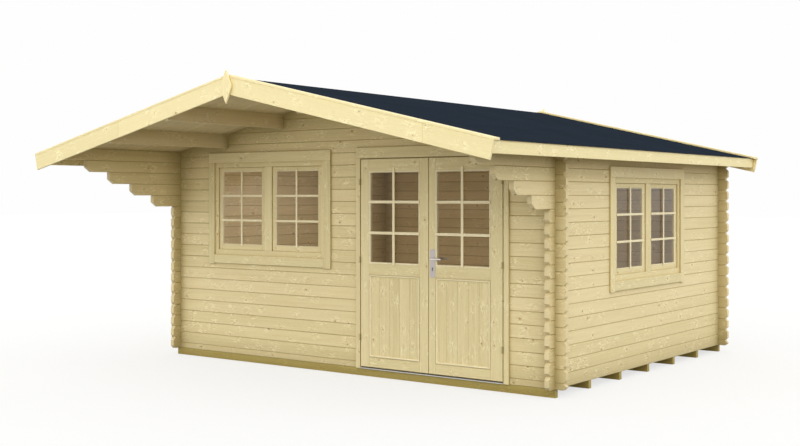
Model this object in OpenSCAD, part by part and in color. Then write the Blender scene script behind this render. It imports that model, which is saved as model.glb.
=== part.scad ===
// Log cabin with a gabled roof that reaches out over the front, a double door and two windows.
// Millimetres, +Z up, +Y towards the back. The origin is under the middle of the roof's plan,
// at ground level. Lengths along Y are first worked out from the front wall's outer face.

/* [Cabin] */
// Width over the outer faces of the side walls
cabin_w = 4500; // [4000:50:5400]
// Depth over the outer faces of the front and back walls
cabin_d = 3600; // [2700:50:4800]
// Number of log courses in a side wall
courses = 18; // [17:1:20]

/* [Logs] */
// Height of one course
log_h = 114; // [95:1:137]
// Thickness of a log
log_t = 44; // [34:1:60]
// How far a log runs on past the corner
log_end = 100; // [60:5:160]
// Chamfer along the edges of a log, which makes the V joint
v_joint = 4; // [2:0.5:7]
// Bevel at the free end of a log
end_bevel = 26; // [5:1:30]
// Width of the tongue on top of a log
tongue_w = 14; // [8:1:18]
// Height of the tongue
tongue_h = 7; // [4:1:10]
// Play round the tongue
tongue_play = 0.5; // [0.2:0.1:1]
// Open joint between one log and the next
joint_gap = 0.4; // [0.2:0.1:0.8]

/* [Corbels] */
// Reach of the lowest corbel log in front of the wall
corbel_first = 375; // [250:5:500]
// How much further each log above it reaches
corbel_step = 280; // [150:10:300]
// Number of corbel logs on each side
corbel_count = 5; // [3:1:5]
// Length of the slanting cut under a corbel's nose
nose_length = 62; // [30:1:90]
// Height of the slanting cut
nose_rise = 46; // [20:1:70]

/* [Base] */
// Height of a bearer
bearer_h = 70; // [45:1:120]
// Thickness of a bearer
bearer_t = 45; // [35:1:70]
// Number of bearers
bearer_count = 7; // [5:1:9]
// Length of the shorter piece of each two-piece bearer
bearer_short = 1250; // [800:50:1500]
// Thickness of the floor boards
floor_t = 19; // [15:1:28]
// Gap between the floor and the walls
floor_gap = 2; // [1:0.5:10]

/* [Roof] */
// Pitch of the roof, in degrees
roof_pitch = 13; // [11:0.5:15.5]
// Roof's reach in front of the front wall, to the barge board's outer face
front_overhang = 1515; // [1500:5:1800]
// Roof's reach behind the back wall, to the barge board's outer face
back_overhang = 165; // [140:5:300]
// Roof's reach past the side wall, to the fascia's outer face
eave_overhang = 310; // [250:5:370]
// Thickness of the roof boards
deck_t = 18; // [15:1:24]
// Thickness of the roofing felt
felt_t = 3; // [2:0.5:5]
// How far the felt runs on past the fascia
felt_run_on = 10; // [0:1:25]
// Width of a barge board, across its slope
barge_w = 140; // [110:1:170]
// Thickness of a barge board
barge_t = 20; // [16:1:26]
// How far a barge board runs on past the fascia
barge_run_on = 43; // [35:1:60]
// Width of the cover strip along a roof edge
cover_w = 85; // [60:1:100]
// Thickness of the cover strip
cover_t = 18; // [12:1:24]
// How far a cover strip runs on past the barge board
cover_run_on = 2; // [0:1:10]
// Height of the eave fascia
fascia_h = 98; // [80:1:120]
// Thickness of the eave fascia
fascia_t = 20; // [16:1:26]
// Thickness of a purlin
purlin_t = 44; // [38:1:60]
// Height of a purlin, at its higher edge
purlin_h = 140; // [120:1:160]
// Distance of the upper side purlins from the ridge
upper_purlin = 775; // [600:5:900]
// Distance of the lower side purlins from the ridge
lower_purlin = 1532; // [1300:5:1700]
// Width of a finial
finial_w = 122; // [80:1:130]
// Height of a finial from tip to tip
finial_h = 286; // [270:1:320]
// Height of each of a finial's two pointed parts
finial_point = 130; // [40:1:132]
// Height of a finial's tip over the cover strips
finial_rise = 40; // [20:1:80]

/* [Windows] */
// Middle of the front window, from the middle of the cabin
front_window_x = -958; // [-1050:1:-900]
// Number of side wall courses under the side window
side_sill_course = 7; // [5:1:7]
// Number of courses that a window opening takes
window_courses = 9; // [8:1:9]
// Width of a window opening
window_w = 1504; // [1300:1:1560]
// Space over a window frame, left for the logs to settle
window_settle = 50; // [20:1:60]
// Visible width of a window frame's side member
window_side = 62; // [50:1:80]
// Width of the post between the sashes
window_post = 94; // [70:1:110]
// Height of a window frame's bottom member
window_bottom = 79; // [60:1:90]
// Height of a window frame's top member
window_top = 67; // [50:1:80]
// Thickness of a sash
sash_t = 30; // [26:1:34]
// Sash face behind the wall's outer face
sash_inset = 13; // [5:1:13]
// Width of a sash's stiles
sash_stile = 42; // [36:1:60]
// Height of a sash's bottom rail
sash_bottom = 50; // [40:1:70]
// Height of a sash's top rail
sash_top = 36; // [30:1:60]
// Gap between a sash and its frame at the sides and top
sash_gap = 3; // [1:0.5:4]
// Thickness of a pane
glass_t = 4; // [3:1:6]
// Depth of the groove that holds a pane
glass_bite = 8; // [5:1:12]
// Gap between a frame and the ends of the logs beside it
frame_play = 2; // [1:0.5:4]

/* [Trim] */
// Thickness of the trim boards
trim_t = 18; // [14:1:22]
// Width of a window's upright trim boards
trim_side = 81; // [60:1:95]
// Width of the board under a window
trim_bottom = 86; // [60:1:100]
// Width of the board over a window or door
trim_top = 98; // [80:1:110]
// How far a trim board laps over the frame
trim_lap = 18; // [10:1:25]
// How far the board under a window laps over the frame
sill_lap = 26; // [15:1:40]
// Drop of the upright boards below the bottom board
trim_drop = 8; // [0:1:15]
// Width of the door's upright trim boards
door_trim_side = 50; // [40:1:70]
// How far the door's trim boards stay back from the frame's inner edge
trim_reveal = 4; // [4:0.5:8]

/* [Door] */
// Middle of the double door, from the middle of the cabin
door_x = 990; // [950:1:1050]
// Width of one door leaf
leaf_w = 763; // [680:1:780]
// Thickness of a leaf
leaf_t = 40; // [36:1:44]
// How far a leaf stands proud of the wall's outer face
leaf_proud = 16; // [12:1:18]
// Gap between the two leaves
leaf_gap = 5.5; // [5.2:0.1:8]
// Taper of a leaf's meeting edge towards the inside
leaf_taper = 2; // [1.8:0.1:4]
// Gap over a leaf, and under it
leaf_end_gap = 6; // [5:0.5:10]
// Width of a leaf's stiles
leaf_stile = 96.5; // [80:0.5:110]
// How much nearer the meeting edge the right leaf's panel and pane stand than the left leaf's
right_shift = 25; // [0:1:25]
// Height of a leaf's top rail
leaf_top_rail = 109; // [80:1:130]
// Height of a leaf's middle rail
leaf_mid_rail = 100; // [80:1:130]
// Height of a leaf's bottom rail
leaf_low_rail = 90; // [80:1:130]
// Height of the boarded panel in a leaf
panel_h = 760; // [600:1:820]
// Thickness of the boarded panel
panel_t = 14; // [10:1:18]
// Depth of pane and panel behind the leaf's face
panel_inset = 9; // [6:1:12]
// Thickness of a jamb
jamb_t = 30; // [24:1:40]
// Height of the frame's head member
head_t = 41; // [30:1:50]
// Space over the door frame, left for the logs to settle
door_settle = 20; // [10:1:40]
// Width of the strip that a leaf closes against
stop_w = 14; // [10:1:20]
// Gap between a closed leaf and that strip
stop_gap = 5; // [5:0.5:8]
// Height of the metal threshold
threshold_h = 14; // [10:1:20]

/* [Hinges and lock] */
// Distance of the lowest hinge's middle from the bottom of its leaf
hinge_low = 268; // [150:1:350]
// Distance of the highest hinge's middle from the top of its leaf
hinge_high = 209; // [150:1:350]
// Radius of a hinge knuckle
knuckle_r = 6.5; // [5:0.5:7]
// Radius of a hinge pin
pin_r = 3; // [2:0.5:4]
// Running play round a hinge pin or the lever's neck
pin_play = 0.08; // [0.03:0.01:0.1]
// Height of one half of a hinge
hinge_half = 28; // [25:1:45]
// Gap between the two halves of a hinge
hinge_split = 0.4; // [0.2:0.1:1]
// Thickness of a hinge flap
flap_t = 2; // [1.5:0.5:3]
// Depth of a hinge flap from the pin
flap_depth = 45; // [35:1:48]
// Gap beside a leaf at its hinged edge
hinge_gap = 5; // [5:0.5:8]
// Hinge pin's distance in front of the leaf's face
pin_proud = 12; // [11:0.5:14]
// Width of a lock plate
plate_w = 54; // [40:1:56]
// Height of a lock plate
plate_h = 250; // [200:1:270]
// Thickness of a lock plate
plate_t = 2.5; // [2:0.5:4]
// Height of a lock plate's middle over the bottom of the wall
plate_z = 995; // [950:1:1050]
// Height of the lever's axis over the plate's middle
lever_rise = 42; // [30:1:60]
// Lever's axis behind the leaf's meeting edge
lock_backset = 42; // [35:1:50]
// Radius of the lever's neck
neck_r = 9; // [7:0.5:11]
// Radius of the spindle inside the leaf
spindle_r = 4; // [3:0.5:5]
// Play round the spindle
spindle_play = 2; // [1:0.5:4]
// Distance of the lever's grip from the leaf's face
grip_reach = 50; // [40:1:60]
// Length of the lever's grip
grip_l = 112; // [90:1:130]
// Radius of the lever's grip
grip_r = 8; // [6:0.5:9]

/* [Hidden] */
$fn = 48;
play = 0.5;            // round what passes through a cut
end_flat = 4;          // least upright strip at a log's end
seat = 0.3;            // under what rests on a surface
over = 1;              // how far a cutting solid runs past what it cuts
corbel_clear = 20;     // least space between a corbel's nose and the barge board
slope = tan(roof_pitch);
rise = 1 / cos(roof_pitch);          // height of a thickness of one, measured plumb
half_w = cabin_w / 2;
wall_top = courses * log_h;          // at the side wall's inner face
ridge_z = wall_top + slope * (half_w - log_t);
door_top = (courses - 0.5) * log_h;  // underside of the log over the door
deck_top = ridge_z + deck_t * rise;
felt_low = deck_top + seat;
felt_top = felt_low + felt_t * rise;
cover_low = felt_top + seat;
cover_top = cover_low + cover_t * rise;
front_edge = -front_overhang;                  // front barge board's outer face
front_inner = front_edge + barge_t;
back_edge = cabin_d + back_overhang;
back_inner = back_edge - barge_t;
eave_x = half_w + eave_overhang;               // fascia's outer face
barge_x = eave_x + barge_run_on;
finial_t = barge_t;
front_end = front_edge - finial_t;
back_end = back_edge + finial_t;
mid_y = (front_end + back_end) / 2;
bearer_step = (cabin_d - bearer_t) / (bearer_count - 1);
quarter = log_h / 4 + joint_gap / 2;           // depth of a corner notch
groove_h = tongue_h + 2 * tongue_play;
pane_slot = glass_t + play;
// windows, measured from the sill of the opening
window_h = window_courses * log_h;
front_sill_z = door_top - window_h;
side_sill_z = side_sill_course * log_h;
frame_w = window_w - 2 * frame_play;
frame_h = window_h - window_settle - seat;
light_w = (frame_w - 2 * window_side - window_post) / 2;
light_h = frame_h - window_bottom - window_top;
light_x = (window_post + light_w) / 2;         // middle of a light
light_z = seat + window_bottom;                // bottom of a light
sash_w = light_w - 2 * sash_gap;
sash_h = light_h - sash_gap - seat;
sash_z = light_z + seat;
pane_w = sash_w - 2 * sash_stile;
pane_h = sash_h - sash_bottom - sash_top;
pane_z = sash_z + sash_bottom;
pane_y = sash_inset + panel_inset;
trim_x = frame_w / 2 - trim_lap;               // inner edge of the upright trim
trim_low = seat + sill_lap - trim_bottom;      // bottom of the board under a window
trim_high = frame_h + seat - trim_lap;         // bottom of the board over a window
// door, measured from its middle
pin_x = leaf_gap / 2 + leaf_w + hinge_gap / 2;
jamb_x = pin_x + hinge_gap / 2;                // inner face of a jamb
door_half = jamb_x + jamb_t + frame_play;      // half of the opening in the wall
leaf_z = threshold_h + leaf_end_gap;
frame_top = door_top - door_settle;
head_z = frame_top - head_t;                   // underside of the head
leaf_top = head_z - leaf_end_gap;
leaf_h = leaf_top - leaf_z;
leaf_back = leaf_t - leaf_proud;               // leaf's inner face
pin_y = -leaf_proud - pin_proud;
hinge_ends = [leaf_z + hinge_low, leaf_top - hinge_high];
hinge_z = [hinge_ends[0], (hinge_ends[0] + hinge_ends[1]) / 2, hinge_ends[1]];
panel_z = leaf_z + leaf_low_rail;
door_pane_z = panel_z + panel_h + leaf_mid_rail;
door_pane_h = leaf_top - leaf_top_rail - door_pane_z;
door_pane_w = leaf_w - 2 * leaf_stile;
lever_z = plate_z + lever_rise;
lever_x = leaf_gap / 2 + lock_backset;
pine = "burlywood";
board = "wheat";
treated = "darkkhaki";
steel = "silver";
pane = "lightblue";
felt_grey = "darkslategray";

// ---- places ----

// moves work from the front wall's face and the wall's bottom into the part's frame
module place() translate([0, -mid_y, bearer_h]) children();

// a window's own frame: x along the wall, y inwards from the outer face, z up from the sill
module at_front_window() place() translate([front_window_x, 0, front_sill_z]) children();
module at_side_window() place() translate([half_w, cabin_d / 2, side_sill_z]) rotate([0, 0, 90]) children();

// the door's frame, and one that is mirrored for the left leaf: +x then runs towards the hinges
module at_door() place() translate([door_x, 0, 0]) children();
module at_right_leaf() at_door() children();
module at_left_leaf() at_door() mirror([1, 0, 0]) children();

module both_sides() {
    children();
    mirror([1, 0, 0]) children();
}

// ---- shapes ----

module box(low, high) translate(low) cube(high - low);

// a flat outline in x and z, given thickness from y = low to y = high
module upright(low, high, points) translate([0, high, 0]) rotate([90, 0, 0])
    linear_extrude(high - low) polygon(points);

// height of a plane parallel to the roof at a distance x from the ridge
function roof_z(top, x) = top - slope * x;

// everything under the roof boards
module under_roof(low, high) upright(low, high, [[-eave_x, 0], [eave_x, 0],
    [eave_x, roof_z(ridge_z - seat, eave_x)], [0, ridge_z - seat],
    [-eave_x, roof_z(ridge_z - seat, eave_x)]]);

// cross-section of a log: chamfered edges, a tongue on top and a groove below
function log_section(height, tongue, groove) =
    let (mid = log_t / 2, tw = tongue_w / 2, gw = tw + tongue_play)
    concat(
        [[0, v_joint], [v_joint, 0]],
        groove ? [[mid - gw, 0], [mid - gw, groove_h], [mid + gw, groove_h], [mid + gw, 0]] : [],
        [[log_t - v_joint, 0], [log_t, v_joint], [log_t, height - v_joint], [log_t - v_joint, height]],
        tongue ? [[mid + tw, height], [mid + tw, height + tongue_h],
            [mid - tw, height + tongue_h], [mid - tw, height]] : [],
        [[v_joint, height], [0, height - v_joint]]);

// side view of a log's end from the bottom up: x is 0 at the end and negative inside the log;
// a bevel leaves an upright strip between itself and its mirror image
function end_view(kind, low, high) =
    let (b = min(end_bevel, (high - low - end_flat) / 2))
    kind == "bevel" ? [[-b - over, low - over], [0, low + b],
        [0, high - b], [-b, high], [-b, high + tongue_h + over]] :
    kind == "nose" ? [[-nose_length * (1 + over / nose_rise), low - over], [0, low + nose_rise],
        [0, high + tongue_h + over]] :
    [[0, low - over], [0, high + tongue_h + over]];

function log_view(start, end, low, high, start_kind, end_kind) =
    let (a = end_view(start_kind, low, high))
    concat([for (p = end_view(end_kind, low, high)) [end + p.x, p.y]],
        [for (i = [len(a) - 1:-1:0]) [start - a[i].x, a[i].y]]);

// one log along x, from y = 0 inwards; crossings are the places where another wall's logs pass
module log_x(start, end, low, high, start_kind, end_kind, crossings, tongue = true, groove = true) {
    top = high - joint_gap;
    difference() {
        intersection() {
            translate([start, 0, low]) rotate([90, 0, 90]) linear_extrude(end - start)
                polygon(log_section(top - low, tongue, groove));
            upright(-over, log_t + over, log_view(start, end, low, top, start_kind, end_kind));
        }
        for (c = crossings) {
            if (groove) box([c - play, -over, low - over], [c + log_t + play, log_t + over, low + quarter]);
            box([c - play, -over, high - quarter],
                [c + log_t + play, log_t + over, high + tongue_h + over]);
        }
    }
}

// a log of a front or back wall: its courses are set half a course lower than a side wall's
module cross_log(row, start, end, start_kind, end_kind) log_x(start, end, max(0, row - 0.5) * log_h,
    (row + 0.5) * log_h, start_kind, end_kind,
    [for (c = [-half_w, half_w - log_t]) if (c > start && c < end) c], groove = row > 0);

// a log of a side wall, along y; the top one is planed to the roof's slope
module side_log(row, start, end, start_kind, end_kind) intersection() {
    translate([half_w, 0, 0]) rotate([0, 0, 90]) log_x(start, end, row * log_h, (row + 1) * log_h,
        start_kind, end_kind, [for (c = [0, cabin_d - log_t]) if (c > start && c < end) c],
        tongue = row < courses - 1, groove = true);
    if (row == courses - 1) under_roof(front_edge, back_edge);
    else box([half_w - log_t - over, front_edge, 0], [half_w + over, back_edge, wall_top]);
}

// one course of a gable, cut to the roof's slope and round the purlins
module gable_log(row) {
    low = (row - 0.5) * log_h;
    reach = min(half_w + log_end, (ridge_z - seat - low) / slope);
    kind = reach < half_w + log_end ? "square" : "bevel";
    difference() {
        intersection() {
            log_x(-reach, reach, low, low + log_h, kind, kind,
                [for (c = [-half_w, half_w - log_t]) if (abs(c) < reach - log_t) c]);
            under_roof(-over, log_t + over);
        }
        purlin_outlines(play);
    }
}

// ---- base ----

// each bearer is two lengths butted together, and the joint changes side from one to the next
module bearers() color(treated) place() for (i = [0:bearer_count - 1]) {
    side = i % 2 == 0 ? 1 : -1;
    joint = side * (half_w - bearer_short);
    low = i * bearer_step;
    for (span = [[-half_w, joint - joint_gap / 2], [joint + joint_gap / 2, half_w]])
        box([span[0], low, -bearer_h], [span[1], low + bearer_t, 0]);
}

module floor() color(board) place() box([-half_w + log_t + floor_gap, log_t + floor_gap, 0],
    [half_w - log_t - floor_gap, cabin_d - log_t - floor_gap, floor_t]);

// ---- walls ----

module front_wall_left() color(pine) place() for (row = [0:courses - 1]) {
    window_row = row >= courses - window_courses;
    door_edge = door_x - door_half;
    spans = window_row
        ? [[-half_w - log_end, front_window_x - window_w / 2, "bevel"],
            [front_window_x + window_w / 2, door_edge, "square"]]
        : [[-half_w - log_end, door_edge, "bevel"]];
    for (s = spans) cross_log(row, s[0], s[1], s[2], "square");
}

module front_wall_right() color(pine) place() for (row = [0:courses - 1])
    cross_log(row, door_x + door_half, half_w + log_end, "square", "bevel");

gable_rows = [courses:ceil((ridge_z - seat) / log_h + 0.5) - 1];

module gable() for (row = gable_rows) gable_log(row);

module front_gable() color(pine) place() gable();
module back_gable() color(pine) place() translate([0, cabin_d - log_t, 0]) gable();

module back_wall() color(pine) place() translate([0, cabin_d - log_t, 0]) for (row = [0:courses - 1])
    cross_log(row, -half_w - log_end, half_w + log_end, "bevel", "bevel");

// corbel logs run on in front of the wall, each further than the one below, and end behind the
// barge board
function corbel(row) = row - (courses - corbel_count);
function side_start(row) = corbel(row) < 0 ? -log_end : row == courses - 1 ? front_inner + seat
    : max(front_inner + corbel_clear, -corbel_first - corbel(row) * corbel_step);
function side_kind(row) = corbel(row) < 0 ? "bevel" : row == courses - 1 ? "square" : "nose";

module side_wall(window) for (row = [0:courses - 1]) {
    window_row = window && row >= side_sill_course && row < side_sill_course + window_courses;
    mid = cabin_d / 2;
    if (window_row) {
        side_log(row, side_start(row), mid - window_w / 2, side_kind(row), "square");
        side_log(row, mid + window_w / 2, cabin_d + log_end, "square", "bevel");
    }
    else side_log(row, side_start(row), cabin_d + log_end, side_kind(row), "bevel");
}

module left_wall() color(pine) place() mirror([1, 0, 0]) side_wall(false);
module right_wall() color(pine) place() side_wall(true);

// ---- roof timbers ----

// a purlin's outline, with its top planed to the roof; x is its distance from the ridge
module purlin(x, y_low, y_high, around = 0) {
    left = x - purlin_t / 2 - around;
    right = x + purlin_t / 2 + around;
    low = roof_z(ridge_z, max(0, x - purlin_t / 2)) - purlin_h - (around > 0 ? seat : 0);
    top = ridge_z - seat + (around > 0 ? purlin_h : 0);
    upright(y_low, y_high, x == 0
        ? [[left, low], [right, low], [right, roof_z(top, right)], [0, top], [left, roof_z(top, right)]]
        : [[left, low], [right, low], [right, roof_z(top, right)], [left, roof_z(top, left)]]);
}

module purlin_outlines(around) {
    purlin(0, -2 * over, log_t + 2 * over, around);
    both_sides() for (x = [upper_purlin, lower_purlin])
        purlin(x, -2 * over, log_t + 2 * over, around);
}

module ridge_purlin() color(pine) place() purlin(0, front_inner + seat, back_inner - seat);

module side_purlins() color(pine) place() both_sides() for (x = [upper_purlin, lower_purlin])
    purlin(x, front_inner + seat, back_inner - seat);

// ---- roof skin ----

// a flat layer of one roof side, from the ridge to x = end
module roof_layer(end, low, thick, y_low, y_high) upright(y_low, y_high, [[joint_gap / 2, low],
    [end, roof_z(low, end)], [end, roof_z(low + thick * rise, end)], [joint_gap / 2, low + thick * rise]]);

module roof_deck() place() roof_layer(eave_x - fascia_t - seat, ridge_z, deck_t, front_inner + seat,
    back_inner - seat);
module roof_deck_right() color(pine) roof_deck();
module roof_deck_left() color(pine) mirror([1, 0, 0]) roof_deck();

module felt() place() roof_layer(eave_x + felt_run_on, felt_low, felt_t, front_edge, back_edge);
module roofing_felt_right() color(felt_grey) felt();
module roofing_felt_left() color(felt_grey) mirror([1, 0, 0]) felt();

// barge board: plumb at the ridge, cut square across its slope at the eave
module barge_board(y_low) upright(y_low, y_low + barge_t, [[joint_gap / 2, deck_top],
    [joint_gap / 2, deck_top - barge_w * rise],
    [barge_x - barge_w * sin(roof_pitch), roof_z(deck_top, barge_x) - barge_w * cos(roof_pitch)],
    [barge_x, roof_z(deck_top, barge_x)]]);

module front_barge_boards() color(board) place() both_sides() barge_board(front_edge);
module back_barge_boards() color(board) place() both_sides() barge_board(back_inner);

module cover_strips() color(board) place() both_sides() for (y = [front_edge, back_edge - cover_w])
    roof_layer(barge_x + cover_run_on, cover_low, cover_t, y, y + cover_w);

module finial(y_low) {
    top = cover_top + finial_rise;
    low = top - finial_h;
    half = finial_w / 2;
    upright(y_low, y_low + finial_t, [[0, top], [-half, top - finial_point], [-half, low + finial_point],
        [0, low], [half, low + finial_point], [half, top - finial_point]]);
}

module finials() color(board) place() {
    finial(front_end);
    finial(back_edge);
}

// the fascia's top edge is planed flush with the roof boards
module eave_fascias() color(board) place() both_sides() {
    low = roof_z(deck_top, eave_x) - fascia_h;
    upright(front_inner + seat, back_inner - seat, [[eave_x - fascia_t, low], [eave_x, low],
        [eave_x, roof_z(deck_top, eave_x)], [eave_x - fascia_t, roof_z(deck_top, eave_x - fascia_t)]]);
}

// ---- windows ----

module both_lights() for (side = [-1, 1]) translate([side * light_x, 0, 0]) children();

// the frame's bottom member is grooved over the tongue of the log below
module window_frame() difference() {
    box([-frame_w / 2, 0, seat], [frame_w / 2, log_t, seat + frame_h]);
    translate([0, log_t / 2, 0]) box([-frame_w / 2 - over, -tongue_w / 2 - tongue_play, 0],
        [frame_w / 2 + over, tongue_w / 2 + tongue_play, groove_h]);
    both_lights() box([-light_w / 2, -over, light_z], [light_w / 2, log_t + over, light_z + light_h]);
}

// a sash is a ring with a groove round its opening that holds the pane
module window_sashes() both_lights() difference() {
    box([-sash_w / 2, sash_inset, sash_z], [sash_w / 2, sash_inset + sash_t, sash_z + sash_h]);
    box([-pane_w / 2, 0, pane_z], [pane_w / 2, log_t + over, pane_z + pane_h]);
    box([-pane_w / 2 - glass_bite, pane_y, pane_z - glass_bite],
        [pane_w / 2 + glass_bite, pane_y + pane_slot, pane_z + pane_h + glass_bite]);
}

module window_glass() both_lights() {
    half = pane_w / 2 + glass_bite - seat;
    y = pane_y + play / 2;
    box([-half, y, pane_z - glass_bite + seat], [half, y + glass_t, pane_z + pane_h + glass_bite - seat]);
}

// four boards round the frame on the outside, and four on the inside; the top one runs right across
module window_trim() for (y = [-trim_t, log_t]) {
    outer = trim_x + trim_side;
    both_sides() box([trim_x, y, trim_low - trim_drop], [outer, y + trim_t, trim_high - seat]);
    box([-trim_x + seat, y, trim_low], [trim_x - seat, y + trim_t, trim_low + trim_bottom]);
    box([-outer, y, trim_high], [outer, y + trim_t, trim_high + trim_top]);
}

module front_window_frame() color(board) at_front_window() window_frame();
module front_window_sashes() color(board) at_front_window() window_sashes();
module front_window_glass() color(pane, 0.4) at_front_window() window_glass();
module front_window_trim() color(board) at_front_window() window_trim();
module side_window_frame() color(board) at_side_window() window_frame();
module side_window_sashes() color(board) at_side_window() window_sashes();
module side_window_glass() color(pane, 0.4) at_side_window() window_glass();
module side_window_trim() color(board) at_side_window() window_trim();

// ---- door frame ----

// pocket for a hinge flap in the face at x = face, from the pin's line inwards
module flap_pockets(face, side, low) for (z = hinge_z)
    box([side > 0 ? face - over : face - flap_t - play / 2, pin_y - over, z + low - play / 2],
        [side > 0 ? face + flap_t + play / 2 : face + over, pin_y + flap_depth + play / 2,
        z + low + hinge_half + play / 2]);

// a jamb with the strip that the leaf closes against; the fixed flaps are let into it
module jamb() difference() {
    union() {
        box([jamb_x, 0, 0], [jamb_x + jamb_t, log_t, frame_top]);
        box([jamb_x - stop_w, leaf_back + stop_gap, threshold_h + seat],
            [jamb_x + over, log_t, head_z - seat]);
    }
    flap_pockets(jamb_x, 1, -hinge_half);
}

module door_head() {
    box([-jamb_x + seat, 0, head_z], [jamb_x - seat, log_t, frame_top]);
    box([-jamb_x + seat, leaf_back + stop_gap, head_z - stop_w], [jamb_x - seat, log_t, head_z + over]);
}

module door_frame() color(board) at_door() {
    difference() {
        both_sides() jamb();
        box([-jamb_x - over, leaf_back, head_z - stop_w - seat], [jamb_x, log_t + over, head_z]);
    }
    door_head();
}

// upright boards and a board across them over the door; those inside stand on the floor
module door_trim() color(board) at_door() for (y = [-trim_t, log_t]) {
    low = y > 0 ? floor_t + seat : 0;
    edge = jamb_x + trim_reveal;
    outer = edge + door_trim_side;
    top = head_z + trim_reveal;
    both_sides() box([edge, y, low], [outer, y + trim_t, top - seat]);
    box([-outer, y, top], [outer, y + trim_t, top + trim_top]);
}

module door_threshold() color(steel) at_door()
    box([-jamb_x + seat, -trim_t, 0], [jamb_x - seat, log_t, threshold_h]);

// ---- door leaves, drawn with the meeting edge near x = 0 and the hinges at +x ----

leaf_low_x = leaf_gap / 2;
leaf_high_x = leaf_low_x + leaf_w;
left_mid_x = (leaf_low_x + leaf_high_x) / 2;     // middle of the left leaf's panel and pane
right_mid_x = left_mid_x - right_shift;

module leaf_opening(mid, low, height, thick) {
    half = door_pane_w / 2;
    translate([mid, 0, low]) {
        box([-half, -leaf_proud - over, 0], [half, leaf_back + over, height]);
        box([-half - glass_bite, panel_inset - leaf_proud, -glass_bite],
            [half + glass_bite, panel_inset - leaf_proud + thick + play, height + glass_bite]);
    }
}

module leaf(mid) difference() {
    translate([0, 0, leaf_z]) linear_extrude(leaf_h) polygon([[leaf_low_x, -leaf_proud],
        [leaf_high_x, -leaf_proud], [leaf_high_x, leaf_back], [leaf_low_x + leaf_taper, leaf_back]]);
    leaf_opening(mid, door_pane_z, door_pane_h, glass_t);
    leaf_opening(mid, panel_z, panel_h, panel_t);
    flap_pockets(leaf_high_x, -1, 0);
}

// what fills an opening sits in its groove
module leaf_filling(mid, low, height, thick) {
    half = door_pane_w / 2 + glass_bite - seat;
    y = panel_inset - leaf_proud + play / 2;
    translate([mid, 0, low])
        box([-half, y, seat - glass_bite], [half, y + thick, height + glass_bite - seat]);
}

module left_door() color(board) at_left_leaf() leaf(left_mid_x);
module left_door_panel() color(board) at_left_leaf()
    leaf_filling(left_mid_x, panel_z, panel_h, panel_t);
module left_door_glass() color(pane, 0.4) at_left_leaf()
    leaf_filling(left_mid_x, door_pane_z, door_pane_h, glass_t);
module right_door() color(board) at_right_leaf() difference() {
    leaf(right_mid_x);
    lever_axis() cylinder(h = 2 * leaf_t, r = spindle_r + spindle_play, center = true);
}
module right_door_panel() color(board) at_right_leaf()
    leaf_filling(right_mid_x, panel_z, panel_h, panel_t);
module right_door_glass() color(pane, 0.4) at_right_leaf()
    leaf_filling(right_mid_x, door_pane_z, door_pane_h, glass_t);

// ---- hinges: a pin on the fixed lower half, a sleeve on the leaf's upper half ----

module flap(face, low) box([face, 0, low], [face + flap_t, flap_depth, low + hinge_half]);

module hinge_pins() for (z = hinge_z) translate([pin_x, pin_y, z]) {
    translate([0, 0, -hinge_half]) cylinder(h = hinge_half, r = knuckle_r);
    cylinder(h = hinge_half, r = pin_r);
    flap(hinge_gap / 2, -hinge_half);
}

module hinge_sleeves() for (z = hinge_z) translate([pin_x, pin_y, z]) difference() {
    union() {
        translate([0, 0, hinge_split]) cylinder(h = hinge_half - hinge_split, r = knuckle_r);
        translate([-hinge_gap / 2 - flap_t, 0, hinge_split])
            cube([flap_t, flap_depth, hinge_half - hinge_split]);
    }
    translate([0, 0, -over]) cylinder(h = hinge_half + 2 * over, r = pin_r + pin_play);
}

module left_hinge_pins() color(steel) at_left_leaf() hinge_pins();
module left_hinge_sleeves() color(steel) at_left_leaf() hinge_sleeves();
module right_hinge_pins() color(steel) at_right_leaf() hinge_pins();
module right_hinge_sleeves() color(steel) at_right_leaf() hinge_sleeves();

// ---- lock ----

// the lever's axis, with local +z running inwards
module lever_axis() translate([lever_x, 0, lever_z]) rotate([-90, 0, 0]) children();

module lock_plates() color(steel) at_right_leaf() difference() {
    for (y = [-leaf_proud - plate_t, leaf_back]) translate([lever_x, y, plate_z])
        box([-plate_w / 2, 0, -plate_h / 2], [plate_w / 2, plate_t, plate_h / 2]);
    lever_axis() cylinder(h = 4 * leaf_t, r = neck_r + pin_play, center = true);
}

// one handle: a neck out of the plate, then a grip with a rounded end
module handle(face, way) {
    tip = face + way * grip_reach;
    translate([0, 0, min(face, tip)]) cylinder(h = grip_reach, r = neck_r);
    translate([0, 0, tip]) {
        sphere(r = neck_r);
        rotate([0, 90, 0]) cylinder(h = grip_l, r = grip_r);
        translate([grip_l, 0, 0]) sphere(r = grip_r);
    }
}

module door_lever() color(steel) at_right_leaf() lever_axis() {
    translate([0, 0, -leaf_proud - over]) cylinder(h = leaf_t + 2 * over, r = spindle_r);
    handle(-leaf_proud - seat, -1);
    handle(leaf_back + seat, 1);
}

bearers();
floor();
front_wall_left();
front_wall_right();
front_gable();
back_wall();
back_gable();
left_wall();
right_wall();
ridge_purlin();
side_purlins();
roof_deck_left();
roof_deck_right();
roofing_felt_left();
roofing_felt_right();
front_barge_boards();
back_barge_boards();
cover_strips();
finials();
eave_fascias();
front_window_frame();
front_window_sashes();
front_window_glass();
front_window_trim();
side_window_frame();
side_window_sashes();
side_window_glass();
side_window_trim();
door_frame();
door_trim();
door_threshold();
left_door();
left_door_panel();
left_door_glass();
right_door();
right_door_panel();
right_door_glass();
left_hinge_pins();
left_hinge_sleeves();
right_hinge_pins();
right_hinge_sleeves();
lock_plates();
door_lever();
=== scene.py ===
import math
import bpy
import numpy as np
from mathutils import Matrix, Vector


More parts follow.
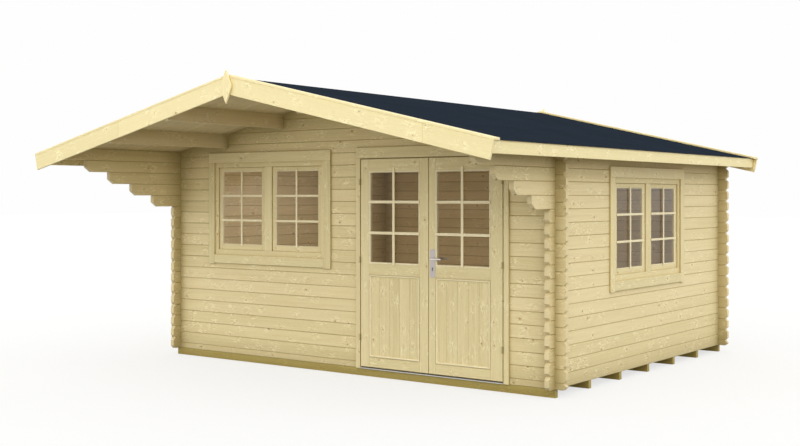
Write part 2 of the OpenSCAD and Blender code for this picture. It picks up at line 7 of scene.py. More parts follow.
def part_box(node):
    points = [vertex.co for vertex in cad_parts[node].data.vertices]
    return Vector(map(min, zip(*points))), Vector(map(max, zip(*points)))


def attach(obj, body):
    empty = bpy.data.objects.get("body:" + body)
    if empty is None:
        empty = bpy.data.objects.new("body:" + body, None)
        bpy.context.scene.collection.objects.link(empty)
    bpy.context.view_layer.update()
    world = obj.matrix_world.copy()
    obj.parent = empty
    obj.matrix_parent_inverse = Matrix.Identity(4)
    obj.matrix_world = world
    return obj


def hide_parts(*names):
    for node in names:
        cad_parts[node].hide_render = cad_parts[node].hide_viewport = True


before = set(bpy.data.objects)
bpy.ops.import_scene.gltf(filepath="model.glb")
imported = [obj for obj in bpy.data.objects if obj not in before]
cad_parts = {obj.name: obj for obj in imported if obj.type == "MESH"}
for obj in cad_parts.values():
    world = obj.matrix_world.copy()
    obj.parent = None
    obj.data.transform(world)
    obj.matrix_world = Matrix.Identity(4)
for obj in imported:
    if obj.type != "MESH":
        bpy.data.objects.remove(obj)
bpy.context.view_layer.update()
dice = np.random.default_rng(11)

# shared sizes
eased = 0.002  # edge of every planed board
barEase = 0.0015  # edge of a glazing bar
stopEase = 0.001  # edge of the door stops
boardEase = 0.0004  # edge of a tongued board
endShare = 0.6  # cut of a corner at a board's end, against the cut along it
seat = 0.0003  # gap under what lies on another piece
joint = 0.0002  # half the gap between two boards side by side

# shared looks
woodLook = {
    "pale": (0.825, 0.710, 0.397, 1),  # early wood
    "dark": (0.65, 0.50, 0.226, 1),  # late wood and streaks
    "contrast": 0.5,  # share of the dark colour
    "boardShade": 0.05,  # how much one board differs from the next
    "knots": 1.0,  # size of the knots
    "paintedShade": (0.80, 0.74, 0.60, 1),  # painted shade: colour that darkens narrow gaps and corners
    "paintedShadeReach": 0.05,  # how far from a gap or corner the painted shade still reaches
}
# The logs' painted shade is darker and reaches further, into the corners where the walls cross.
logLook = woodLook | {
    "pale": (0.845, 0.715, 0.398, 1), "dark": (0.65, 0.485, 0.22, 1),
    "paintedShade": (0.52, 0.49, 0.37, 1), "paintedShadeReach": 0.3,
}
boardLook = woodLook | {
    "pale": (0.94, 0.815, 0.452, 1), "dark": (0.79, 0.63, 0.30, 1), "contrast": 0.45, "boardShade": 0.04,
}
panelLook = woodLook | {
    "pale": (0.835, 0.72, 0.403, 1), "dark": (0.63, 0.477, 0.229, 1), "contrast": 0.68,
    "boardShade": 0.035, "paintedShade": (0.84, 0.78, 0.62, 1), "paintedShadeReach": 0.03,
}
barLook = woodLook | {
    "pale": (0.91, 0.81, 0.53, 1), "dark": (0.81, 0.68, 0.38, 1), "contrast": 0.35,
    "boardShade": 0.02, "knots": 0.5, "paintedShade": (0.86, 0.80, 0.66, 1), "paintedShadeReach": 0.03,
}
roofWoodLook = woodLook | {
    "pale": (0.74, 0.63, 0.375, 1), "dark": (0.58, 0.44, 0.22, 1),
    "boardShade": 0.06, "knots": 1.1, "paintedShade": (0.70, 0.66, 0.52, 1), "paintedShadeReach": 0.12,
}
treatedLook = roofWoodLook | {
    "pale": (0.46, 0.365, 0.11, 1), "dark": (0.30, 0.215, 0.05, 1), "contrast": 0.65, "knots": 0.9,
}
feltLook = {"colour": (0.017, 0.024, 0.035, 1), "grit": (0.030, 0.038, 0.052, 1), "roughness": 0.95}
steelLook = {"colour": (0.44, 0.405, 0.395, 1), "roughness": 0.36}
# painted shade: the key cylinder's dark colour stands in for the shade inside its keyhole
keyholeShadeLook = {"colour": (0.16, 0.15, 0.15, 1), "roughness": 0.5}
leverLook = {"colour": (0.74, 0.71, 0.67, 1), "roughness": 0.42}
zincLook = {"colour": (0.58, 0.58, 0.57, 1), "roughness": 0.42}
hingeLook = {"colour": (0.50, 0.41, 0.20, 1), "roughness": 0.5}
glassLook = {
    "colour": (0.965, 0.95, 0.94, 1), "cloud": (0.95, 0.935, 0.925, 1),
    "roughness": 0.0, "ior": 1.19, "shine": 0.02,
}


def unit(vectors):
    return vectors / np.linalg.norm(vectors, axis=1, keepdims=True)


def mirrored(side):
    return Matrix.Scale(side, 4, (1, 0, 0))


# Faces between rings of points that follow each other, and a cap at either end.
def ringFaces(rings, count, turnedOver=False):
    row, col = np.meshgrid(np.arange(rings - 1), np.arange(count), indexing="ij")
    a = (row * count + col).ravel()
    b = (row * count + (col + 1) % count).ravel()
    first = tuple(range(count))
    last = tuple(range((rings - 1) * count, rings * count))
    if turnedOver:
        quads, caps = [a, a + count, b + count, b], [first, last[::-1]]
    else:
        quads, caps = [a, b, b + count, a + count], [first[::-1], last]
    return [tuple(f) for f in np.column_stack(quads).tolist()] + caps


# Puts a part where it belongs and gives it a board number of its own, which also shifts its grain.
def placed(verts, faces, grain, ends, flip, place):
    if place is not None:
        turn = np.array(place)
        verts = verts @ turn[:3, :3].T + turn[:3, 3]
        flip = flip != (np.linalg.det(turn[:3, :3]) < 0)
    faces = [f[::-1] for f in faces] if flip else faces
    board = dice.random()
    grain = grain + np.array([board * 40, 0, 0])
    return verts, faces, grain, np.full(len(verts), board * 1000), ends


# An outline drawn out along an axis, with cut corners and drawn-in ends, so that every edge is eased.
# A corner is cut at corner + before * cut and corner + after * cut, before and after being its two edges'
# directions. The grain runs along the axis, or in the outline's plane at the angle flow.
def prism(outline, low, high, axis="z", ease=eased, cut=None, flow=None, place=None):
    corners = np.array(outline, float)
    ahead = np.roll(corners, -1, axis=0)
    area = np.sum(corners[:, 0] * ahead[:, 1] - ahead[:, 0] * corners[:, 1])
    corners = corners if area > 0 else corners[::-1]
    cut = ease if cut is None else cut
    before = unit(np.roll(corners, 1, axis=0) - corners)
    after = unit(np.roll(corners, -1, axis=0) - corners)
    bend = after[:, 0] * before[:, 1] - after[:, 1] * before[:, 0]
    inner = corners + (before + after) * (ease / bend)[:, None]
    full = np.stack([corners + before * cut, corners + after * cut], axis=1).reshape(-1, 2)
    drawn = np.stack([inner + before * cut * endShare, inner + after * cut * endShare], axis=1).reshape(-1, 2)
    count = len(full)
    levels = np.repeat([low, low + ease, high - ease, high], count)
    local = np.column_stack([np.vstack([drawn, full, full, drawn]), levels])
    order = {"x": (2, 0, 1), "y": (0, 2, 1), "z": (0, 1, 2)}[axis]
    if flow is None:
        wide = 0 if np.ptp(corners[:, 0]) >= np.ptp(corners[:, 1]) else 1
        across = local[:, wide] - corners[:, wide].mean()
        grain = np.column_stack([local[:, 2] - low, across, local[:, 1 - wide]])
        ends = np.repeat([1.0, 0, 0, 1], count)
    else:
        c, s = math.cos(flow), math.sin(flow)
        along, across = local[:, 0] * c + local[:, 1] * s, local[:, 1] * c - local[:, 0] * s
        grain = np.column_stack([along, across, local[:, 2]])
        ends = np.zeros(4 * count)
    return placed(local[:, order], ringFaces(4, count), grain, ends, axis == "y", place)


# Where boards side by side start and end, with a joint between them.
def boardSpans(low, high, count):
    step = (high - low) / count
    return [(low + k * step + joint, low + (k + 1) * step - joint) for k in range(count)]


# A straight board between two corners, its grain along its longest side.
def bar(low, high, ease=eased, place=None):
    low, high = np.array(low, float), np.array(high, float)
    axis = int(np.argmax(high - low))
    u, v = {0: (1, 2), 1: (0, 2), 2: (0, 1)}[axis]
    outline = [(low[u], low[v]), (high[u], low[v]), (high[u], high[v]), (low[u], high[v])]
    return prism(outline, low[axis], high[axis], "xyz"[axis], ease, place=place)


# A closed profile run round a rectangle with mitred corners. Each profile point says how far it is inside the
# rectangle and how deep it lies, so that a point's run is half the side's length less its distance inside.
def moulding(centre, half, profile, place=None):
    points = np.array(profile, float)
    grainShift = 0.03
    parts = []
    for k in range(4):
        c, s = (1, 0, -1, 0)[k], (0, 1, 0, -1)[k]
        run, rise = (half[0], half[1]) if k % 2 == 0 else (half[1], half[0])
        ring = []
        for side in (-1, 1):
            along = side * (run - points[:, 0])
            out = -(rise - points[:, 0])
            spot = [along * c - out * s, points[:, 1], along * s + out * c]
            ring.append(np.column_stack(spot + [along, points[:, 0]]))
        both = np.vstack(ring)
        verts = both[:, :3] + np.array([centre[0], 0, centre[1]])
        grain = np.column_stack([both[:, 3], both[:, 4] + grainShift, both[:, 1]])
        parts.append(placed(verts, ringFaces(2, len(points)), grain, np.zeros(2 * len(points)), False, place))
    return parts


# A profile of radius and height turned round an axis through a point.
def turned(profile, origin, axis, sides=16, place=None):
    points = np.array(profile, float)
    angles = np.linspace(0, 2 * np.pi, sides, endpoint=False)
    across, upright = np.outer(points[:, 0], np.cos(angles)), np.outer(points[:, 0], np.sin(angles))
    ring = np.stack([across, upright, np.repeat(points[:, 1:2], sides, axis=1)], axis=-1).reshape(-1, 3)
    order = {"x": (2, 0, 1), "y": (1, 2, 0), "z": (0, 1, 2)}[axis]
    verts = ring[:, order] + np.array(origin)
    return placed(verts, ringFaces(len(points), sides), ring, np.zeros(len(ring)), False, place)


# An oval section carried along a path that lies level; the radii are across and upright.
def swept(path, radii, sides=20, place=None):
    points = np.array(path, float)
    ahead = unit(np.gradient(points, axis=0))
    across = np.column_stack([-ahead[:, 1], ahead[:, 0], np.zeros(len(points))])
    angles = np.linspace(0, 2 * np.pi, sides, endpoint=False)
    sizes = np.array(radii, float)
    verts = points[:, None, :] + across[:, None, :] * (sizes[:, 0:1] * np.cos(angles))[:, :, None]
    verts = verts + np.array([0, 0, 1.0]) * (sizes[:, 1:2] * np.sin(angles))[:, :, None]
    verts = verts.reshape(-1, 3)
    return placed(verts, ringFaces(len(points), sides, True), verts, np.zeros(len(verts)), False, place)


def addObject(name, data):
    made = bpy.data.objects.new(name, data)
    bpy.context.scene.collection.objects.link(made)
    return made


def makePiece(name, parts, material, body, replaced=(), smooth=False):
    offset, verts, faces = 0, [], []
    for part in parts:
        verts.append(part[0])
        faces += [tuple(v + offset for v in f) for f in part[1]]
        offset += len(part[0])
    mesh = bpy.data.meshes.new(name)
    mesh.from_pydata(np.vstack(verts).tolist(), [], faces)
    stored = (("grain", "FLOAT_VECTOR", 2, "vector"), ("board", "FLOAT", 3, "value"),
              ("cutEnd", "FLOAT", 4, "value"))
    for label, kind, index, field in stored:
        values = np.concatenate([part[index] for part in parts]).astype(np.float32)
        mesh.attributes.new(label, kind, "POINT").data.foreach_set(field, values.ravel())
    if smooth:
        mesh.shade_smooth()
        mesh.set_sharp_from_angle(angle=math.radians(40))
    mesh.materials.append(material)
    made = addObject(name, mesh)
    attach(made, body)
    if replaced:
        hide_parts(*replaced)
    return made


def feed(tree, socket, value):
    if isinstance(value, bpy.types.NodeSocket):
        tree.links.new(value, socket)
    else:
        socket.default_value = value


def feedAll(tree, node, values):
    for label, item in values.items():
        feed(tree, node.inputs[label], item)
    return node.outputs


def calc(tree, kind, first, second=0.0, third=None, clamp=False):
    node = tree.nodes.new("ShaderNodeMath")
    node.operation = kind
    node.use_clamp = clamp
    feed(tree, node.inputs[0], first)
    feed(tree, node.inputs[1], second)
    if third is not None:
        feed(tree, node.inputs[2], third)
    return node.outputs[0]


def times(tree, first, second):
    return calc(tree, "MULTIPLY", first, second)


def minus(tree, first, second):
    return calc(tree, "SUBTRACT", first, second)


# first * second + third
def timesPlus(tree, first, second, third):
    return calc(tree, "MULTIPLY_ADD", first, second, third)


def ramp(tree, value, low, high, start=0.0, end=1.0, soft=True):
    node = tree.nodes.new("ShaderNodeMapRange")
    node.interpolation_type = "SMOOTHSTEP" if soft else "LINEAR"
    ends = {"Value": value, "From Min": low, "From Max": high, "To Min": start, "To Max": end}
    return feedAll(tree, node, ends)[0]


def join(tree, first, second=0.0, third=0.0):
    node = tree.nodes.new("ShaderNodeCombineXYZ")
    for k, item in enumerate((first, second, third)):
        feed(tree, node.inputs[k], item)
    return node.outputs[0]


def split(tree, vector):
    node = tree.nodes.new("ShaderNodeSeparateXYZ")
    feed(tree, node.inputs[0], vector)
    return node.outputs


def blend(tree, share, first, second, kind="MIX"):
    node = tree.nodes.new("ShaderNodeMix")
    node.data_type = "RGBA"
    node.blend_type = kind
    feed(tree, node.inputs[0], share)
    feed(tree, node.inputs[6], first)
    feed(tree, node.inputs[7], second)
    return node.outputs[2]


def tinted(tree, colour, tint):
    return blend(tree, 1.0, colour, tint, "MULTIPLY")


def noise(tree, vector, scale=1.0, detail=2.0, rough=0.5, distort=0.0):
    node = tree.nodes.new("ShaderNodeTexNoise")
    settings = {"Vector": vector, "Scale": scale, "Detail": detail, "Roughness": rough, "Distortion": distort}
    return feedAll(tree, node, settings)[0]


def bump(tree, height, strength, distance):
    node = tree.nodes.new("ShaderNodeBump")
    return feedAll(tree, node, {"Strength": strength, "Distance": distance, "Height": height})[0]


def chance(tree, value):
    node = tree.nodes.new("ShaderNodeTexWhiteNoise")
    node.noise_dimensions = "1D"
    feed(tree, node.inputs["W"], value)
    return split(tree, node.outputs["Color"])


def objectPlace(tree):
    return tree.nodes.new("ShaderNodeTexCoord").outputs["Object"]


def makeGroup(name, inputs, outputs):
    tree = bpy.data.node_groups.new(name, "ShaderNodeTree")
    for label, kind, value in inputs:
        socket = tree.interface.new_socket(label, in_out="INPUT", socket_type="NodeSocket" + kind)
        if value is not None:
            socket.default_value = value
    for label, kind in outputs:
        tree.interface.new_socket(label, in_out="OUTPUT", socket_type="NodeSocket" + kind)
    return tree, tree.nodes.new("NodeGroupInput").outputs, tree.nodes.new("NodeGroupOutput").inputs


def useGroup(tree, group, values):
    node = tree.nodes.new("ShaderNodeGroup")
    node.node_tree = group
    return feedAll(tree, node, values)


knotLook = {
    "cellLong": 0.21, "cellWide": 0.078,  # a board has one place for a knot in each such stretch
    "shiftLong": 91.0, "shiftWide": 37.0,  # how far boards' patterns are shifted against each other
    "drawnOut": 0.72,  # below 1 the knots are longer along the grain
    "least": 0.0018, "spread": 0.0052, "rareness": 2.2,  # radius, and how rare the big ones are
    "left": 0.7,  # share of the places without a knot
    "calm": 0.45, "burstOut": 0.07, "burstIn": 0.015,  # places without a burst, and a burst's size
    "push": -0.75,  # how far the grain flows round a knot
}


# Knots on a board: one possible knot per cell of a stretched cell pattern, most of them left out.
def makeKnotGroup():
    inputs = [("Grain", "Vector", None), ("Board", "Float", 0.0), ("Size", "Float", 1.0)]
    tree, given, made = makeGroup("knots", inputs, [("Knot", "Float"), ("Rim", "Float"), ("Halo", "Float"),
                                                    ("Flare", "Float"), ("Push", "Float")])
    k = knotLook
    along, across, depth = split(tree, given["Grain"])
    luck = chance(tree, given["Board"])
    u = timesPlus(tree, luck[0], k["shiftLong"], calc(tree, "DIVIDE", along, k["cellLong"]))
    v = timesPlus(tree, luck[1], k["shiftWide"], calc(tree, "DIVIDE", across, k["cellWide"]))
    cells = tree.nodes.new("ShaderNodeTexVoronoi")
    cells.voronoi_dimensions = "2D"
    feedAll(tree, cells, {"Vector": join(tree, u, v), "Scale": 1})
    centre = split(tree, cells.outputs["Position"])
    draw = split(tree, cells.outputs["Color"])
    du = times(tree, minus(tree, u, centre[0]), k["cellLong"] * k["drawnOut"])
    dv = times(tree, minus(tree, v, centre[1]), k["cellWide"])
    away = calc(tree, "SQRT", timesPlus(tree, du, du, times(tree, dv, dv)))
    ragged = noise(tree, join(tree, u, v, depth), 40.0, 1.0)
    away = times(tree, away, ramp(tree, ragged, 0.3, 0.7, 0.85, 1.15))
    radius = timesPlus(tree, calc(tree, "POWER", draw[0], k["rareness"]), k["spread"], k["least"])
    near = calc(tree, "DIVIDE", away, times(tree, given["Size"], radius))
    there = calc(tree, "GREATER_THAN", draw[1], k["left"])
    feed(tree, made["Knot"], times(tree, there, ramp(tree, near, 1.05, 0.85)))
    rim = times(tree, ramp(tree, near, 0.55, 0.95), ramp(tree, near, 1.5, 1.0))
    feed(tree, made["Rim"], times(tree, there, rim))
    halo = times(tree, there, ramp(tree, near, 4.5, 0.8))
    feed(tree, made["Halo"], halo)
    burst = calc(tree, "GREATER_THAN", draw[1], k["calm"])
    feed(tree, made["Flare"], times(tree, burst, ramp(tree, away, k["burstOut"], k["burstIn"])))
    feed(tree, made["Push"], times(tree, times(tree, dv, halo), k["push"]))
    return tree


grainLook = {
    "streaks": (0.9, 30.0), "fine": (3.0, 130.0),  # how many a metre, along and across the grain
    "fibre": (9.0, 750.0), "flecks": (26.0, 90.0),
    "wander": (0.55, 6.0), "wanderFar": 26.0,  # the year rings' slow bends
    "ringsLeast": 260.0, "ringsSpread": 380.0,  # how close the year rings lie
    "ringsSharp": 2.2,  # how thin the dark of each ring is
    "streakPart": 0.5, "ringPart": 0.26, "finePart": 1.1, "fibrePart": 0.5,  # what each adds to the dark
    "glint": (1.12, 1.16, 1.28, 1), "glintPart": 0.15, "burstPart": 0.85, "creasePart": 0.4,
    "halo": (0.74, 0.53, 0.25, 1), "haloPart": 0.35, "knot": (0.43, 0.31, 0.12, 1), "knotPart": 0.8,
    "rim": (0.22, 0.155, 0.055, 1), "rimPart": 0.4,
    "endRings": 1700.0, "endPart": 0.3, "endLeast": 0.05, "endTint": (1.0, 1.0, 1.06, 1),  # sawn ends
    "rough": 0.48, "roughFibre": 0.16,
}


# Planed softwood: broad streaks, year rings and fine fibre drawn out along the grain, knots, end grain.
def makeTimberGroup(knots):
    inputs = [("Grain", "Vector", None), ("Board", "Float", 0.0), ("End", "Float", 0.0),
              ("Pale", "Color", (0.8, 0.7, 0.4, 1)), ("Dark", "Color", (0.6, 0.5, 0.2, 1)),
              ("Contrast", "Float", 0.5), ("Board Shade", "Float", 0.05), ("Knots", "Float", 1.0)]
    outputs = [("Colour", "Color"), ("Roughness", "Float"), ("Normal", "Vector")]
    tree, given, made = makeGroup("timber", inputs, outputs)
    g = grainLook
    along, across, depth = split(tree, given["Grain"])
    luck = chance(tree, calc(tree, "ADD", given["Board"], 0.37))
    spots = useGroup(tree, knots, {"Grain": given["Grain"], "Board": given["Board"], "Size": given["Knots"]})
    u = timesPlus(tree, luck[0], 53.0, along)
    v = timesPlus(tree, luck[1], 3.0, calc(tree, "ADD", across, spots["Push"]))

    def drawnOut(rates, *settings):
        lengthwise, crosswise = rates
        spot = [times(tree, a, rate) for a, rate in ((u, lengthwise), (v, crosswise), (depth, crosswise))]
        return noise(tree, join(tree, *spot), 1.0, *settings)

    streaks = drawnOut(g["streaks"], 3.0, 0.55, 0.25)
    fine = drawnOut(g["fine"], 2.0, 0.6, 0.3)
    fibre = drawnOut(g["fibre"], 2.0, 0.6)
    flecks = drawnOut(g["flecks"], 2.0, 0.6, 0.8)
    bends = join(tree, times(tree, u, g["wander"][0]), times(tree, v, g["wander"][1]), depth)
    density = timesPlus(tree, luck[2], g["ringsSpread"], g["ringsLeast"])
    phase = timesPlus(tree, noise(tree, bends, 1.0, 1.0), g["wanderFar"], times(tree, v, density))
    bands = calc(tree, "POWER", timesPlus(tree, calc(tree, "SINE", phase), 0.5, 0.5), g["ringsSharp"])
    tone = timesPlus(tree, ramp(tree, streaks, 0.3, 0.72), g["streakPart"], times(tree, bands, g["ringPart"]))
    tone = timesPlus(tree, minus(tree, fine, 0.5), g["finePart"], tone)
    tone = timesPlus(tree, minus(tree, fibre, 0.5), g["fibrePart"], tone)
    darkness = calc(tree, "MULTIPLY", tone, given["Contrast"], clamp=True)
    colour = blend(tree, darkness, given["Pale"], given["Dark"])
    shade = timesPlus(tree, minus(tree, luck[2], 0.5), times(tree, given["Board Shade"], 2.0), 1.0)
    colour = tinted(tree, colour, join(tree, shade, shade, calc(tree, "POWER", shade, 1.6)))
    glint = timesPlus(tree, spots["Flare"], g["burstPart"], g["glintPart"])
    glint = times(tree, ramp(tree, flecks, 0.47, 0.62), glint)
    colour = blend(tree, glint, colour, tinted(tree, given["Pale"], g["glint"]))
    crease = times(tree, ramp(tree, flecks, 0.38, 0.44), ramp(tree, flecks, 0.49, 0.45))
    crease = times(tree, times(tree, crease, spots["Flare"]), g["creasePart"])
    colour = blend(tree, crease, colour, given["Dark"])
    for label in ("Halo", "Knot", "Rim"):
        tint = label.lower()
        colour = blend(tree, times(tree, spots[label], g[tint + "Part"]), colour, g[tint])
    core = calc(tree, "POWER", timesPlus(tree, luck[0], 0.03, calc(tree, "ADD", depth, 0.01)), 2.0)
    radius = calc(tree, "SQRT", timesPlus(tree, across, across, core))
    rings = timesPlus(tree, calc(tree, "SINE", times(tree, radius, g["endRings"])), 0.5, 0.5)
    sawn = blend(tree, timesPlus(tree, rings, g["endPart"], g["endLeast"]), given["Pale"], given["Dark"])
    feed(tree, made["Colour"], blend(tree, given["End"], colour, tinted(tree, sawn, g["endTint"])))
    feed(tree, made["Roughness"], timesPlus(tree, fibre, g["roughFibre"], g["rough"]))
    relief = timesPlus(tree, bands, 0.35, minus(tree, fibre, spots["Rim"]))
    feed(tree, made["Normal"], bump(tree, relief, 0.35, 0.0006))
    return tree


# Where on which log a point of a wall lies: the course gives the board's number and the height in it.
def makeCourseGroup():
    inputs = [("Along", "Float", 0.0), ("Height", "Float", 0.0), ("Depth", "Float", 0.0),
              ("Course", "Float", 0.114), ("Shift", "Float", 0.0), ("Wall", "Float", 0.0)]
    outputs = [("Grain", "Vector"), ("Board", "Float"), ("Joint", "Float")]
    tree, given, made = makeGroup("courses", inputs, outputs)
    rows = calc(tree, "ADD", calc(tree, "DIVIDE", given["Height"], given["Course"]), given["Shift"])
    row = calc(tree, "FLOOR", calc(tree, "ADD", rows, 0.0005))
    inside = times(tree, minus(tree, minus(tree, rows, row), 0.5), given["Course"])
    feed(tree, made["Board"], timesPlus(tree, given["Wall"], 40.0, row))
    feed(tree, made["Grain"], join(tree, given["Along"], inside, given["Depth"]))
    edge = minus(tree, times(tree, given["Course"], 0.5), calc(tree, "ABSOLUTE", inside))
    feed(tree, made["Joint"], ramp(tree, edge, 0.0005, 0.0032))
    return tree


# Mineral grit on roofing felt: light and dark grains and slow patches.
def makeGritGroup():
    inputs = [("Vector", "Vector", None), ("Base", "Color", (0.02, 0.03, 0.04, 1)),
              ("Grain", "Color", (0.04, 0.05, 0.07, 1))]
    tree, given, made = makeGroup("grit", inputs, [("Colour", "Color"), ("Normal", "Vector")])
    grains = noise(tree, given["Vector"], 900.0, 2.0, 0.6)
    patches = ramp(tree, noise(tree, given["Vector"], 2.2, 3.0), 0.3, 0.7, 0.95, 1.05)
    colour = blend(tree, ramp(tree, grains, 0.45, 0.7), given["Base"], given["Grain"])
    feed(tree, made["Colour"], tinted(tree, colour, join(tree, patches, patches, patches)))
    feed(tree, made["Normal"], bump(tree, grains, 0.5, 0.001))
    return tree


# Brushed metal: fine scratches along one way and soft smudges.
def makeMetalGroup():
    inputs = [("Vector", "Vector", None), ("Roughness", "Float", 0.3),
              ("Colour", "Color", (0.6, 0.6, 0.6, 1))]
    tree, given, made = makeGroup("brushed", inputs, [("Colour", "Color"), ("Roughness", "Float")])
    spot = [times(tree, a, rate) for a, rate in zip(split(tree, given["Vector"]), (1800.0, 1800.0, 30.0))]
    scratches = noise(tree, join(tree, *spot), 1.0, 2.0)
    smudges = times(tree, noise(tree, given["Vector"], 40.0, 2.0), 0.06)
    uneven = timesPlus(tree, scratches, 0.12, smudges)
    feed(tree, made["Roughness"], calc(tree, "ADD", given["Roughness"], uneven))
    scratched = (0.35, 0.35, 0.36, 1)
    feed(tree, made["Colour"], blend(tree, times(tree, scratches, 0.25), given["Colour"], scratched))
    return tree


knotGroup = makeKnotGroup()
timberGroup = makeTimberGroup(knotGroup)
courseGroup = makeCourseGroup()
gritGroup = makeGritGroup()
metalGroup = makeMetalGroup()

woodShine = 0.25
jointTint = (0.93, 0.87, 0.72, 1)  # in the joint between two logs
endClear = 0.65  # how much of the painted shade cut ends stay free of


def newMaterial(name):
    made = bpy.data.materials.new(name)
    made.use_nodes = True
    tree = made.node_tree
    return made, tree, tree.nodes["Principled BSDF"]


def timberInto(tree, shader, grain, board, end, look, gap=None):
    wood = useGroup(tree, timberGroup, {
        "Grain": grain, "Board": board, "End": end, "Pale": look["pale"], "Dark": look["dark"],
        "Contrast": look["contrast"], "Board Shade": look["boardShade"], "Knots": look["knots"]})
    colour = wood["Colour"]
    if gap is not None:
        colour = blend(tree, gap, tinted(tree, colour, jointTint), colour)
    paintedShade = tree.nodes.new("ShaderNodeAmbientOcclusion")  # painted shade: ambient occlusion darkens the colour in corners and gaps
    paintedShade.samples = 6
    paintedShade.inputs["Distance"].default_value = look["paintedShadeReach"]
    clear = ramp(tree, paintedShade.outputs["AO"], 0.4, 0.95, soft=False)
    clear = calc(tree, "MAXIMUM", clear, times(tree, end, endClear))
    # The painted shade is mixed into the base colour here.
    colour = blend(tree, clear, tinted(tree, colour, look["paintedShade"]), colour)
    feedAll(tree, shader, {"Base Color": colour, "Roughness": wood["Roughness"], "Normal": wood["Normal"],
                           "Specular IOR Level": woodShine})


def readAttribute(tree, name, output):
    node = tree.nodes.new("ShaderNodeAttribute")
    node.attribute_name = name
    return node.outputs[output]


def plankMaterial(name, look):
    made, tree, shader = newMaterial(name)
    grain, board = readAttribute(tree, "grain", "Vector"), readAttribute(tree, "board", "Fac")
    timberInto(tree, shader, grain, board, readAttribute(tree, "cutEnd", "Fac"), look)
    return made


# Timber that lies along x or along y; a face that looks along it, upright or bevelled, is a cut end.
def lyingTimber(tree, alongX):
    x, y, z = split(tree, objectPlace(tree))
    nx, ny, nz = split(tree, tree.nodes.new("ShaderNodeNewGeometry").outputs["True Normal"])
    along, depth, facing = (x, y, nx) if alongX else (y, x, ny)
    return along, depth, z, ramp(tree, calc(tree, "ABSOLUTE", facing), 0.55, 0.68)


# A wall's logs lie along x for the front and back walls, and along y for the side walls.
def logMaterial(name, look, alongX, shift):
    made, tree, shader = newMaterial(name)
    along, depth, z, end = lyingTimber(tree, alongX)
    course = useGroup(tree, courseGroup, {
        "Along": along, "Height": minus(tree, z, wallBottom), "Depth": depth, "Course": courseHeight,
        "Shift": shift, "Wall": calc(tree, "GREATER_THAN", depth, 0.0)})
    timberInto(tree, shader, course["Grain"], course["Board"], end, look, course["Joint"])
    return made


def straightMaterial(name, look, alongX):
    made, tree, shader = newMaterial(name)
    along, depth, z, end = lyingTimber(tree, alongX)
    board = calc(tree, "ROUND", times(tree, depth, 4.0))
    timberInto(tree, shader, join(tree, along, z, calc(tree, "FRACT", depth)), board, end, look)
    return made


def metalMaterial(name, look):
    made, tree, shader = newMaterial(name)
    metal = useGroup(tree, metalGroup, {"Vector": objectPlace(tree), "Roughness": look["roughness"],
                                        "Colour": look["colour"]})
    feedAll(tree, shader, {"Base Color": metal["Colour"], "Roughness": metal["Roughness"], "Metallic": 1})
    return made


def glassMaterial(name, look):
    made, tree, shader = newMaterial(name)
    patches = ramp(tree, noise(tree, objectPlace(tree), 3.0, 2.0), 0.3, 0.7)
    feedAll(tree, shader, {
        "Base Color": blend(tree, patches, look["colour"], look["cloud"]), "Roughness": look["roughness"],
        "IOR": look["ior"], "Metallic": 0, "Transmission Weight": 1, "Specular IOR Level": look["shine"]})
    return made


def feltMaterial(name, look):
    made, tree, shader = newMaterial(name)
    values = {"Vector": objectPlace(tree), "Base": look["colour"], "Grain": look["grit"]}
    grit = useGroup(tree, gritGroup, values)
    feedAll(tree, shader, {"Base Color": grit["Colour"], "Normal": grit["Normal"],
                           "Roughness": look["roughness"], "Specular IOR Level": 0.0})
    return made


courseHeight = 0.114
pitch = math.radians(13)
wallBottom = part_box("left_wall")[0].z
frameLow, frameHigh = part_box("front_window_frame")
wallFront = frameLow.y  # outer face of the front wall
frontWindow = Matrix.Translation(((frameLow.x + frameHigh.x) / 2, wallFront, frameLow.z))
sideLow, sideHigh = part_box("side_window_frame")
sideMiddle = Matrix.Translation((sideHigh.x, (sideLow.y + sideHigh.y) / 2, sideLow.z))
sideWindow = sideMiddle @ Matrix.Rotation(math.pi / 2, 4, "Z")
doorLow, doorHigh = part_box("door_frame")
rightLeaf = Matrix.Translation(((doorLow.x + doorHigh.x) / 2, wallFront, wallBottom))
leftLeaf = rightLeaf @ mirrored(-1)

planedWood = plankMaterial("planedWood", woodLook)
panelWood = plankMaterial("panelWood", panelLook)
boardWood = plankMaterial("boardWood", boardLook)
barWood = plankMaterial("barWood", barLook)
roofWood = plankMaterial("roofWood", roofWoodLook)
frontLogWood = logMaterial("frontLogWood", logLook, True, 0.5)
sideLogWood = logMaterial("sideLogWood", logLook, False, 0.0)
purlinWood = straightMaterial("purlinWood", roofWoodLook, False)
treatedWood = straightMaterial("treatedWood", treatedLook, True)
pane = glassMaterial("pane", glassLook)
felt = feltMaterial("felt", feltLook)
steel = metalMaterial("steel", steelLook)
keyholeShadeMetal = metalMaterial("keyholeShadeMetal", keyholeShadeLook)
leverMetal = metalMaterial("leverMetal", leverLook)
zinc = metalMaterial("zinc", zincLook)
hingeSteel = metalMaterial("hingeSteel", hingeLook)
print("materials made")


# Beads in front of and behind a pane. Their profiles start at the wood's faces and end at the pane.
def beadPair(look, faces, centre, half, place):
    front = faces[0] + look["paneDeep"]
    back = front + look["paneGroove"]
    outer = [(x, faces[0] + y) for x, y in look["beadFront"]] + [(look["bead"], front), (0, front)]
    inner = [(0, back), (look["bead"], back)] + [(x, faces[1] + y) for x, y in look["beadBack"]]
    return moulding(centre, half, outer, place) + moulding(centre, half, inner, place)


